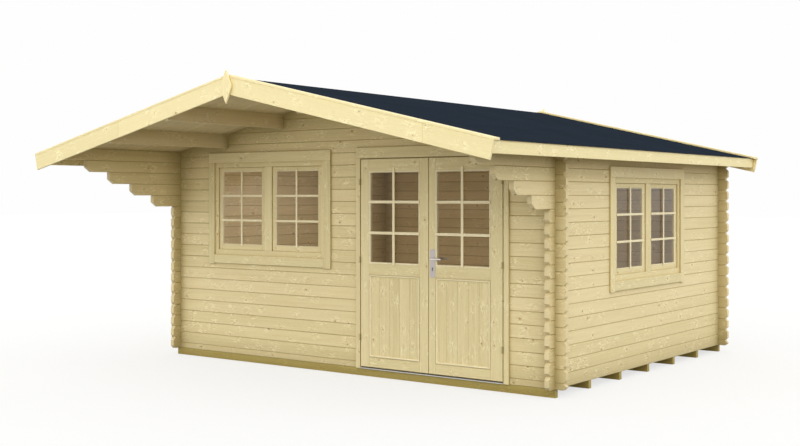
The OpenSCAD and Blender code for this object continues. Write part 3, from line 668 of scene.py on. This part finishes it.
# One upright bar that runs right through, and two level ones that meet it.
def glazingBars(look, face, sides, levels, above, place):
    (left, right), (low, high) = sides, levels
    middle = (left + right) / 2
    wide, on = look["barWide"] / 2, look["barRunOn"]
    front, back = face - look["barThick"], face - look["barOff"]
    bars = [bar((middle - wide, front, low - on), (middle + wide, back, high + above), barEase, place=place)]
    for share in (1 / 3, 2 / 3):
        level = low + (high - low) * share
        for a, b in ((left - on, middle - wide), (middle + wide, right + on)):
            start, end = (a, front + look["barStep"], level - wide), (b, back, level + wide)
            bars.append(bar(start, end, barEase, place=place))
    return bars


windowLook = {
    "frameWide": 1.5, "frameHigh": 0.9757, "side": 0.062, "post": 0.094, "bottom": 0.079, "top": 0.067,
    "deep": 0.044,  # frame, as thick as the wall
    "sashInset": 0.013, "sashThick": 0.03, "stile": 0.042, "sashBottom": 0.05, "sashTop": 0.036, "gap": 0.003,
    "trimSide": 0.081, "trimThick": 0.018, "trimLap": 0.018, "sillLap": 0.026, "trimBottom": 0.086,
    "trimTop": 0.098, "drop": 0.008,  # the side boards run on below the bottom board
    "barWide": 0.021, "barThick": 0.008, "barRunOn": 0.009, "barOff": 0.0007, "barStep": 0.0004,
    "paneDeep": 0.009, "paneGroove": 0.0045, "bead": 0.008,
    "beadFront": [(0, -0.0005), (0.0048, 0.001), (0.008, 0.005)],
    "beadBack": [(0.008, -0.006), (0.004, -0.002), (0, -0.002)],
}


def windowPieces(name, place, body, sheen):
    w = windowLook
    half, high = w["frameWide"] / 2, w["frameHigh"]
    inside, post, deep = half - w["side"], w["post"] / 2, w["deep"]
    lightWide = (w["frameWide"] - 2 * w["side"] - w["post"]) / 2
    spans = [((-half, 0, 0), (-inside, deep, high)), ((inside, 0, 0), (half, deep, high)),
             ((-post, 0, w["bottom"]), (post, deep, high - w["top"])),
             ((-inside, 0, 0), (inside, deep, w["bottom"])),
             ((-inside, 0, high - w["top"]), (inside, deep, high))]
    frameBars = [bar(start, end, place=place) for start, end in spans]
    makePiece(name + "Frame", frameBars, planedWood, body, (sheen + "_window_frame",))
    sashBars, beads, glazing = [], [], []
    for side in (-1, 1):
        middle = side * (w["post"] + lightWide) / 2
        x0, x1 = middle - lightWide / 2 + w["gap"], middle + lightWide / 2 - w["gap"]
        z0, z1 = w["bottom"] + seat, high - w["top"] - w["gap"]
        y0, y1 = w["sashInset"], w["sashInset"] + w["sashThick"]
        p0, p1 = x0 + w["stile"], x1 - w["stile"]
        q0, q1 = z0 + w["sashBottom"], z1 - w["sashTop"]
        spans = [((x0, y0, z0), (p0, y1, z1)), ((p1, y0, z0), (x1, y1, z1)),
                 ((p0, y0, z0), (p1, y1, q0)), ((p0, y0, q1), (p1, y1, z1))]
        sashBars += [bar(start, end, place=place) for start, end in spans]
        beads += beadPair(w, (y0, y1), ((p0 + p1) / 2, (q0 + q1) / 2), ((p1 - p0) / 2, (q1 - q0) / 2), place)
        glazing += glazingBars(w, y0, (p0, p1), (q0, q1), w["barRunOn"], place)
    makePiece(name + "Sashes", sashBars, planedWood, body, (sheen + "_window_sashes",))
    makePiece(name + "Beads", beads, barWood, body)
    makePiece(name + "Bars", glazing, barWood, body)
    edge = half - w["trimLap"]
    low, top = w["sillLap"] - w["trimBottom"], high - w["trimLap"]
    trims = []
    for y in (-w["trimThick"], deep):
        back = y + w["trimThick"]
        spans = [((a, y, low - w["drop"]), (a + w["trimSide"], back, top - seat))
                 for a in (-edge - w["trimSide"], edge)]
        spans += [((-edge + seat, y, low), (edge - seat, back, low + w["trimBottom"])),
                  ((-edge - w["trimSide"], y, top), (edge + w["trimSide"], back, top + w["trimTop"]))]
        trims += [bar(start, end, place=place) for start, end in spans]
    makePiece(name + "Trim", trims, planedWood, body, (sheen + "_window_trim",))


windowPieces("frontWindow", frontWindow, "cabin", "front")
windowPieces("sideWindow", sideWindow, "cabin", "side")
print("windows made")

doorLook = {
    "leafLow": 0.00275, "leafHigh": 0.76575, "face": -0.016, "back": 0.024, "foot": 0.02, "head": 1.928,
    "taper": 0.002,  # the meeting edge leans back, so that the leaves clear each other
    "stile": 0.0965, "topRail": 0.109, "midRail": 0.1, "lowRail": 0.09, "panelHigh": 0.76,
    "rightShift": 0.025,  # pane and panel of the right leaf, nearer the meeting edge
    "barWide": 0.026, "barThick": 0.008, "barRunOn": 0.002, "barRise": 0.03,
    "barOff": 0.0007, "barStep": 0.0004,
    "paneDeep": 0.0092, "paneGroove": 0.0046, "bead": 0.015,
    "beadFront": [(0, -0.0005), (0.006, -0.0005), (0.011, 0.002), (0.015, 0.006)],
    "beadBack": [(0.015, -0.008), (0.006, -0.001), (0, -0.001)],
    "boards": 5, "groove": 0.0022,  # boards in the panel, and the V between them
    "panelFront": 0.009, "panelBack": 0.0232,  # behind the leaf's face
    "quirk": 0.004, "mould": 0.021,  # gap beside the panel moulding, and how far it reaches in
    "mouldFront": [(0.004, 0), (0.007, -0.003), (0.014, -0.003), (0.019, 0.002)],
    "mouldBack": [(0, 0), (0.018, 0), (0.018, 0.004)], "mouldTop": 0.008,
    "jamb": 0.77075, "jambThick": 0.03, "frameTop": 1.975, "frameHead": 0.041, "deep": 0.044,
    "stop": 0.014, "stopBack": 0.029, "floor": 0.0193, "threshold": 0.014,
    "trimSide": 0.05, "trimTop": 0.098, "trimThick": 0.018, "reveal": 0.004,
}


def leafPieces(name, place, body, node, shift):
    d = doorLook
    x0, x1, y0, y1 = d["leafLow"], d["leafHigh"] - seat, d["face"], d["back"]
    p0, p1 = x0 + d["stile"] - shift, d["leafHigh"] - d["stile"] - shift
    foot, head = d["foot"], d["head"]
    panelLow = foot + d["lowRail"]
    panelTop = panelLow + d["panelHigh"]
    glassLow, glassTop = panelTop + d["midRail"], head - d["topRail"]
    wood = [prism([(x0, y0), (p0, y0), (p0, y1), (x0 + d["taper"], y1)], foot, head, place=place),
            prism([(p1, y0), (x1, y0), (x1, y1), (p1, y1)], foot, head, place=place)]
    for low, top in ((foot, panelLow), (panelTop, glassLow), (glassTop, head)):
        wood.append(bar((p0, y0, low), (p1, y1, top), place=place))
    makePiece(name + "Leaf", wood, planedWood, body, (node,))
    middle = (p0 + p1) / 2
    half = ((p1 - p0) / 2, (glassTop - glassLow) / 2)
    beads = beadPair(d, (y0, y1), (middle, (glassLow + glassTop) / 2), half, place)
    makePiece(name + "Beads", beads, barWood, body)
    bars = glazingBars(d, y0, (p0, p1), (glassLow, glassTop), d["barRise"], place)
    makePiece(name + "Bars", bars, barWood, body)
    panel = []
    v = d["groove"]
    front, back = y0 + d["panelFront"], y0 + d["panelBack"]
    for a, b in boardSpans(p0, p1, d["boards"]):
        outline = [(a, front + v), (a + v, front), (b - v, front), (b, front + v),
                   (b, back - v), (b - v, back), (a + v, back), (a, back - v)]
        panel.append(prism(outline, panelLow, panelTop, cut=boardEase, place=place))
    makePiece(name + "Panel", panel, panelWood, body, (node + "_panel",))
    centre = (middle, (panelLow + panelTop) / 2)
    half = ((p1 - p0) / 2, (panelTop - panelLow) / 2)
    outer = [(x, y0 + y) for x, y in d["mouldFront"]] + [(d["mould"], front), (d["quirk"], front)]
    inner = [(x, back + y) for x, y in d["mouldBack"]] + [(d["mouldTop"], y1), (0, y1)]
    frames = moulding(centre, half, outer, place) + moulding(centre, half, inner, place)
    makePiece(name + "PanelMould", frames, barWood, body)


leafPieces("left", leftLeaf, "left_leaf", "left_door", 0)
leafPieces("right", rightLeaf, "right_leaf", "right_door", doorLook["rightShift"])


def doorFramePieces():
    d = doorLook
    jambIn, jambOut = d["jamb"], d["jamb"] + d["jambThick"]
    deep, thick = d["deep"], d["trimThick"]
    headLow = d["frameTop"] - d["frameHead"]
    trimIn, trimLow = jambIn + d["reveal"], headLow + d["reveal"]
    trimOut = trimIn + d["trimSide"]
    parts, trims = [], []
    for place in (rightLeaf, leftLeaf):
        parts.append(bar((jambIn + seat, 0, 0), (jambOut, deep, d["frameTop"]), place=place))
        start = (jambIn - d["stop"], d["stopBack"], d["threshold"] + seat)
        parts.append(bar(start, (jambIn + joint, deep, headLow - seat), stopEase, place=place))
        for y, foot in ((-thick, 0), (deep, d["floor"])):
            trims.append(bar((trimIn, y, foot), (trimOut, y + thick, trimLow - seat), place=place))
    parts.append(bar((-jambIn + seat, 0, headLow), (jambIn - seat, deep, d["frameTop"]), place=rightLeaf))
    start = (-jambIn + seat, d["stopBack"], headLow - d["stop"])
    parts.append(bar(start, (jambIn - seat, deep, headLow - seat), stopEase, place=rightLeaf))
    for y in (-thick, deep):
        end = (trimOut, y + thick, trimLow + d["trimTop"])
        trims.append(bar((-trimOut, y, trimLow), end, place=rightLeaf))
    makePiece("doorFrame", parts, planedWood, "cabin", ("door_frame",))
    makePiece("doorTrim", trims, planedWood, "cabin", ("door_trim",))


doorFramePieces()
print("door made")

lockLook = {
    "axisX": 0.04475, "axisZ": 1.037,  # the lever's axis on the right leaf
    "plateWide": 0.054, "plateHigh": 0.25, "plateMiddle": 0.995, "plateThick": 0.0025, "plateRound": 0.01,
    "plateEase": 0.0007, "plateCut": 0.0004,
    "keyWide": 0.0105, "keyHigh": 0.033, "keyRound": 0.005, "keyThick": 0.0022, "keyDrop": 0.052,
    "keyEase": 0.0004, "keyCut": 0.0003,
    "barrelDrop": 0.043,  # the cylinder's round part, below the plate's middle
    "barrel": [(0.0001, 0.0), (0.0085, 0.0), (0.0085, 0.0016), (0.0072, 0.0024), (0.0001, 0.0024)],
    "screwOff": 0.112,  # screws above and below the plate's middle
    "screw": [(0.0001, 0), (0.0042, 0), (0.0038, 0.0008), (0.0022, 0.0013), (0.0001, 0.0014)],
    "collar": [(0.0001, 0.0028), (0.0125, 0.0028), (0.0125, 0.0065), (0.011, 0.009), (0.0001, 0.009)],
    "neck": [0.0032, 0.012, 0.026],  # rings of the lever's neck, out from the leaf
    "reach": 0.05, "bend": 0.012, "grip": 0.112, "tipRound": 0.008, "spindle": 0.004,
    "across": 0.0082, "slimmer": 0.0022, "upright": 0.0086, "waist": 0.0008, "tipShare": 0.6,
}


def roundedOutline(centre, wide, high, radius, steps=4):
    turns = np.linspace(0, np.pi / 2, steps)
    points = []
    for k, (sx, sz) in enumerate(((1, 1), (-1, 1), (-1, -1), (1, -1))):
        angles = turns + k * np.pi / 2
        cx, cz = centre[0] + sx * (wide / 2 - radius), centre[1] + sz * (high / 2 - radius)
        points.append(np.column_stack([cx + radius * np.cos(angles), cz + radius * np.sin(angles)]))
    return np.vstack(points)


# Points of one handle: straight out, a quarter turn, level along the leaf, and a rounded tip.
def leverPath(face, way):
    k = lockLook
    x, bend, tip = k["axisX"], k["bend"], face + way * k["reach"]
    out = k["reach"] - bend
    path = [(x, face + way * s) for s in k["neck"] + [out]]
    for t in np.linspace(0.3, math.pi / 2, 6):
        path.append((x + bend * (1 - math.cos(t)), face + way * (out + bend * math.sin(t))))
    path += [(x + s, tip) for s in np.linspace(0.02, k["grip"] - bend, 10)]
    curl = k["tipRound"]
    for t in np.linspace(0.1, math.pi / 2, 5):
        path.append((x + k["grip"] - curl + curl * math.sin(t), tip - way * curl * (1 - math.cos(t))))
    return [(x, y, k["axisZ"]) for x, y in path]


def lockPieces():
    k = lockLook
    x, middle, axisZ = k["axisX"], k["plateMiddle"], k["axisZ"]
    y0, y1 = doorLook["face"], doorLook["back"]
    plates, levers, keys = [], [], []
    for face, way in ((y0, -1), (y1, 1)):
        out = face + way * k["plateThick"]
        low, high = sorted((face, out))
        plate = roundedOutline((x, middle), k["plateWide"], k["plateHigh"], k["plateRound"])
        plates.append(prism(plate, low, high, "y", k["plateEase"], k["plateCut"], place=rightLeaf))
        low, high = sorted((out, out + way * k["keyThick"]))
        key = roundedOutline((x, middle - k["keyDrop"]), k["keyWide"], k["keyHigh"], k["keyRound"])
        keys.append(prism(key, low, high, "y", k["keyEase"], k["keyCut"], place=rightLeaf))
        barrel = [(r, h * way) for r, h in k["barrel"]]
        keys.append(turned(barrel, (x, out, middle - k["barrelDrop"]), "y", 24, rightLeaf))
        screw = [(r, h * way) for r, h in k["screw"]]
        for z in (-k["screwOff"], k["screwOff"]):
            plates.append(turned(screw, (x, out, middle + z), "y", 12, rightLeaf))
        path = leverPath(face, way)
        share = np.linspace(0, 1, len(path))
        upright = k["upright"] - k["waist"] * np.cos(share * 9)
        sizes = np.column_stack([k["across"] - k["slimmer"] * share, upright])
        sizes[-1] = sizes[-1] * k["tipShare"]
        levers.append(swept(path, sizes, 20, rightLeaf))
        collar = [(r, h * way) for r, h in k["collar"]]
        levers.append(turned(collar, (x, face, axisZ), "y", 28, rightLeaf))
    spindle = [(0.0001, y0), (k["spindle"], y0), (k["spindle"], y1), (0.0001, y1)]
    levers.append(turned(spindle, (x, 0, axisZ), "y", 8, rightLeaf))
    makePiece("lockPlates", plates, steel, "right_leaf", ("lock_plates",), smooth=True)
    # The key cylinder is painted dark for the shade in its keyhole.
    makePiece("keyCylinder", keys, keyholeShadeMetal, "right_leaf", smooth=True)
    makePiece("doorLever", levers, leverMetal, "lever", ("door_lever",), smooth=True)


lockPieces()
print("lock made")

roofLook = {
    "deckBoards": 45, "deckGroove": 0.004, "deckThick": 0.018, "deckShort": 0.0045, "deckStart": 0.0005,
    "fasciaThick": 0.02, "bargeWide": 0.14,
    "seamRight": 0.766, "seamLeft": 0.53,  # where the two lengths of a barge board meet
    "coverThick": 0.018, "coverWide": 0.085, "lip": 0.0025, "lipEase": 0.0003,
    "finialThick": 0.02, "finialPoint": 0.13,
    "lap": 0.9, "lapStep": 0.0012, "feltLow": 0.0029, "feltInset": 0.003,
    "wave": 0.00015, "waveRate": 5.1,  # slow waves of the felt along the eave
}


# Height on the roof's slope at a distance from the ridge.
def fall(height, x):
    return height - x * math.tan(pitch)


def slopeFrom(height, side):
    return Matrix.Translation((0, 0, height)) @ mirrored(side) @ Matrix.Rotation(pitch, 4, "Y")


def deckPieces():
    r = roofLook
    low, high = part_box("roof_deck_right")
    thick, v = r["deckThick"], r["deckGroove"]
    length = high.x / math.cos(pitch) - r["deckShort"]
    for side, label in ((1, "right"), (-1, "left")):
        slope = slopeFrom(high.z - thick / math.cos(pitch), side)
        boards = []
        for a, b in boardSpans(low.y, high.y, r["deckBoards"]):
            outline = [(a, v), (a + v, 0), (b - v, 0), (b, v), (b, thick), (a, thick)]
            boards.append(prism(outline, r["deckStart"], length, "x", boardEase, boardEase, place=slope))
        makePiece(label + "DeckBoards", boards, roofWood, "cabin", ("roof_deck_" + label,))


# Each barge board is two lengths that meet at a plumb seam; its lower end is cut square.
def bargePieces():
    wide = roofLook["bargeWide"]
    for label, nodeName in (("front", "front_barge_boards"), ("back", "back_barge_boards")):
        low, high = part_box(nodeName)
        top, reach = high.z, high.x
        lower = top - wide / math.cos(pitch)
        toe = (reach - wide * math.sin(pitch), fall(top, reach) - wide * math.cos(pitch))
        boards = []
        for side, share in ((-1, roofLook["seamLeft"]), (1, roofLook["seamRight"])):
            seam = reach * share
            upper, under = fall(top, seam), fall(lower, seam)
            inner = [(joint, top), (joint, lower), (seam - joint, under), (seam - joint, upper)]
            outer = [(seam + joint, upper), (seam + joint, under), toe, (reach, fall(top, reach))]
            for outline in (inner, outer):
                boards.append(prism(outline, low.y, high.y, "y", flow=-pitch, place=mirrored(side)))
        makePiece(label + "Barge", boards, boardWood, "cabin", (nodeName,))


# The strips lie on the felt; a thin lip under their outer edges reaches down to the barge boards.
def coverPieces():
    r = roofLook
    low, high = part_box("cover_strips")
    under = high.z - r["coverThick"] / math.cos(pitch)
    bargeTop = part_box("front_barge_boards")[1].z + joint
    strips = []
    layers = ((under, high.z, r["coverWide"], eased), (bargeTop, under, r["lip"], r["lipEase"]))
    for side in (-1, 1):
        for foot, top, wide, ease in layers:
            outline = [(joint, foot), (high.x, fall(foot, high.x)), (high.x, fall(top, high.x)), (joint, top)]
            for a in (low.y, high.y - wide):
                strips.append(prism(outline, a, a + wide, "y", ease, flow=-pitch, place=mirrored(side)))
    makePiece("coverStrips", strips, boardWood, "cabin", ("cover_strips",))


def finialPieces():
    low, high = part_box("finials")
    half, point, thick = high.x, roofLook["finialPoint"], roofLook["finialThick"]
    outline = [(0, high.z), (-half, high.z - point), (-half, low.z + point),
               (0, low.z), (half, low.z + point), (half, high.z - point)]
    parts = [prism(outline, a, a + thick, "y", flow=math.pi / 2) for a in (low.y, high.y - thick)]
    makePiece("finialBoards", parts, boardWood, "cabin", ("finials",))


def fasciaPieces():
    low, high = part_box("eave_fascias")
    thick = roofLook["fasciaThick"]
    back = high.x - thick
    outline = [(back, low.z), (high.x, low.z), (high.x, fall(high.z, thick)), (back, high.z)]
    parts = [prism(outline, low.y, high.y, "y", place=mirrored(side)) for side in (-1, 1)]
    makePiece("eaveBoards", parts, boardWood, "cabin", ("eave_fascias",))


# Felt: strips laid along the eave, each a step higher where it laps over the one below. Along the eave the
# whole section rises and falls by wave * sin(waveRate * place).
def feltPieces():
    r = roofLook
    low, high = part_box("roofing_felt_right")
    length = high.x / math.cos(pitch)
    points = [(0.0, -r["feltLow"]), (length, -r["feltLow"])]
    for a in np.arange(0, length, r["lap"])[::-1]:
        b = min(a + r["lap"], length)
        points += [(b - joint, -joint), (a + joint, -r["lapStep"])]
    outline = np.array(points)
    count = len(outline)
    along = np.linspace(low.y + r["feltInset"], high.y - r["feltInset"], 60)
    wave = np.sin(along * r["waveRate"]) * r["wave"]
    down = np.tile(outline[:, 0], (len(along), 1))
    heights = outline[None, :, 1] - joint + wave[:, None]
    verts = np.stack([down, np.repeat(along[:, None], count, 1), heights], axis=-1).reshape(-1, 3)
    faces = ringFaces(len(along), count, True)
    for side, label in ((1, "right"), (-1, "left")):
        part = placed(verts, faces, verts, np.zeros(len(verts)), True, slopeFrom(high.z, side))
        makePiece(label + "Felt", [part], felt, "cabin", ("roofing_felt_" + label,))


deckPieces()
bargePieces()
coverPieces()
finialPieces()
fasciaPieces()
feltPieces()
print("roof made")

floorLook = {
    "boards": 39, "groove": 0.002, "metalEase": 0.0006,
    "nose": [(0.004, -0.005), (0, -0.008)],  # rounded front of the threshold
    # its groove, from the back
    "channel": [(0.008, 0), (0.010, 0.003), (0.030, 0.003), (0.032, 0), (0.040, 0)],
}


def floorPieces():
    low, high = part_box("floor")
    v = floorLook["groove"]
    boards = []
    for a, b in boardSpans(low.x, high.x, floorLook["boards"]):
        outline = [(a, low.z), (b, low.z), (b, high.z - v), (b - v, high.z), (a + v, high.z), (a, high.z - v)]
        boards.append(prism(outline, low.y, high.y, "y", boardEase, boardEase))
    makePiece("floorBoards", boards, planedWood, "cabin", ("floor",))


def thresholdPiece():
    low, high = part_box("door_threshold")
    outline = [(low.y, low.z), (high.y, low.z), (high.y, high.z)]
    outline += [(high.y - back, high.z - down) for back, down in floorLook["channel"]]
    outline += [(low.y + back, high.z + up) for back, up in floorLook["nose"]]
    ease = floorLook["metalEase"]
    part = prism(outline, low.x, high.x, "x", ease, ease)
    makePiece("threshold", [part], zinc, "cabin", ("door_threshold",))


floorPieces()
thresholdPiece()
print("floor made")

# materials on what the frame brings
nodeFinish = (
    (treatedWood, ["bearers"]),
    (frontLogWood, ["front_wall_left", "front_wall_right", "front_gable", "back_wall", "back_gable"]),
    (sideLogWood, ["left_wall", "right_wall"]),
    (purlinWood, ["ridge_purlin", "side_purlins"]),
    (pane, [opening + "_glass" for opening in ("front_window", "side_window", "left_door", "right_door")]),
    (hingeSteel, [side + "_hinge_" + half for side in ("left", "right") for half in ("pins", "sleeves")]),
)
for chosen, nodeNames in nodeFinish:
    for nodeName in nodeNames:
        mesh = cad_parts[nodeName].data
        mesh.materials.clear()
        mesh.materials.append(chosen)

stageLook = {
    "ground": (0.28, 0.28, 0.27, 1), "groundHalf": 80, "groundRough": 0.9,
    "glow": 0.69, "backdrop": 0.99,  # how pale floor and background look
    "skyLow": 1.65, "skyHigh": 0.6,  # light of the sky at the horizon and straight above
    "keyPlace": (5, -8, 7), "keyAim": (0, 0, 0.5), "keyPower": 1.2, "keyWide": math.radians(110),
    "roomPlace": (-0.78, -0.1, 2.0), "roomAim": (-1.05, -0.1, 0), "roomPower": 13.2,
    "roomColour": (0.955, 0.91, 1.0), "roomSize": (1.6, 1.4),
    "porchPlace": (-0.2, -3.0, 0.9), "porchAim": (0, -1.1, 2.5), "porchPower": 1.3,
    "porchSize": (2.6, 0.8), "porchSpread": math.radians(75),
}


def groundPiece():
    reach = stageLook["groundHalf"]
    mesh = bpy.data.meshes.new("ground")
    corners = [(-reach, -reach, 0), (reach, -reach, 0), (reach, reach, 0), (-reach, reach, 0)]
    mesh.from_pydata(corners, [], [(0, 1, 2, 3)])
    made = addObject("ground", mesh)
    material, tree, shader = newMaterial("groundPaint")
    path = tree.nodes.new("ShaderNodeLightPath").outputs
    seen = calc(tree, "MAXIMUM", path["Is Camera Ray"], path["Is Transmission Ray"])
    seen = calc(tree, "MAXIMUM", seen, path["Is Glossy Ray"])
    feedAll(tree, shader, {
        "Base Color": stageLook["ground"], "Roughness": stageLook["groundRough"], "Specular IOR Level": 0.0,
        "Emission Color": (1, 1, 1, 1), "Emission Strength": times(tree, seen, stageLook["glow"])})
    mesh.materials.append(material)


# The sky lights everything, and what the camera sees of it is the plain backdrop.
def skyLight():
    world = bpy.data.worlds.new("studio")
    world.use_nodes = True
    bpy.context.scene.world = world
    sky = world.node_tree
    light = sky.nodes["Background"]
    backdrop = sky.nodes.new("ShaderNodeBackground")
    backdrop.inputs["Color"].default_value = (stageLook["backdrop"],) * 3 + (1,)
    light.inputs["Color"].default_value = (1, 1, 1, 1)
    upward = split(sky, sky.nodes.new("ShaderNodeTexCoord").outputs["Generated"])[2]
    strength = ramp(sky, upward, 0.0, 1.0, stageLook["skyLow"], stageLook["skyHigh"], soft=False)
    feed(sky, light.inputs["Strength"], strength)
    path = sky.nodes.new("ShaderNodeLightPath").outputs
    mixer = sky.nodes.new("ShaderNodeMixShader")
    feed(sky, mixer.inputs[0], calc(sky, "MAXIMUM", path["Is Camera Ray"], path["Is Transmission Ray"]))
    sky.links.new(light.outputs[0], mixer.inputs[1])
    sky.links.new(backdrop.outputs[0], mixer.inputs[2])
    sky.links.new(mixer.outputs[0], sky.nodes["World Output"].inputs["Surface"])


def addLight(name, kind, **settings):
    data = bpy.data.lights.new(name, kind)
    data.energy = stageLook[name + "Power"]
    for key, value in settings.items():
        setattr(data, key, value)
    made = addObject(name, data)
    place, aim = stageLook[name + "Place"], stageLook[name + "Aim"]
    made.location = place
    made.rotation_mode = "QUATERNION"
    made.rotation_quaternion = (Vector(aim) - Vector(place)).to_track_quat("-Z", "Y")
    return made


# A lamp that only brightens a place, and is itself seen nowhere.
def addFill(name, **settings):
    wide, high = stageLook[name + "Size"]
    made = addLight(name, "AREA", shape="RECTANGLE", size=wide, size_y=high, **settings)
    made.visible_camera = False
    made.visible_transmission = False
    made.visible_glossy = False


groundPiece()
skyLight()
addLight("key", "SUN", angle=stageLook["keyWide"])
addFill("room", color=stageLook["roomColour"])
addFill("porch", spread=stageLook["porchSpread"])

cameraLook = {
    "lens": 51.93, "sensor": 36, "shift": -0.03376, "far": 400,
    "place": (6.88188, -9.47865, 1.66011), "turn": (math.pi / 2, 0, 0.639874),
}
camera = bpy.data.cameras.new("camera")
camera.lens = cameraLook["lens"]
camera.sensor_width = cameraLook["sensor"]
camera.shift_y = cameraLook["shift"]
camera.clip_end = cameraLook["far"]
cameraObject = addObject("camera", camera)
cameraObject.location = cameraLook["place"]
cameraObject.rotation_euler = cameraLook["turn"]
bpy.context.scene.camera = cameraObject
bpy.context.scene.view_settings.view_transform = "Standard"
print("stage made")
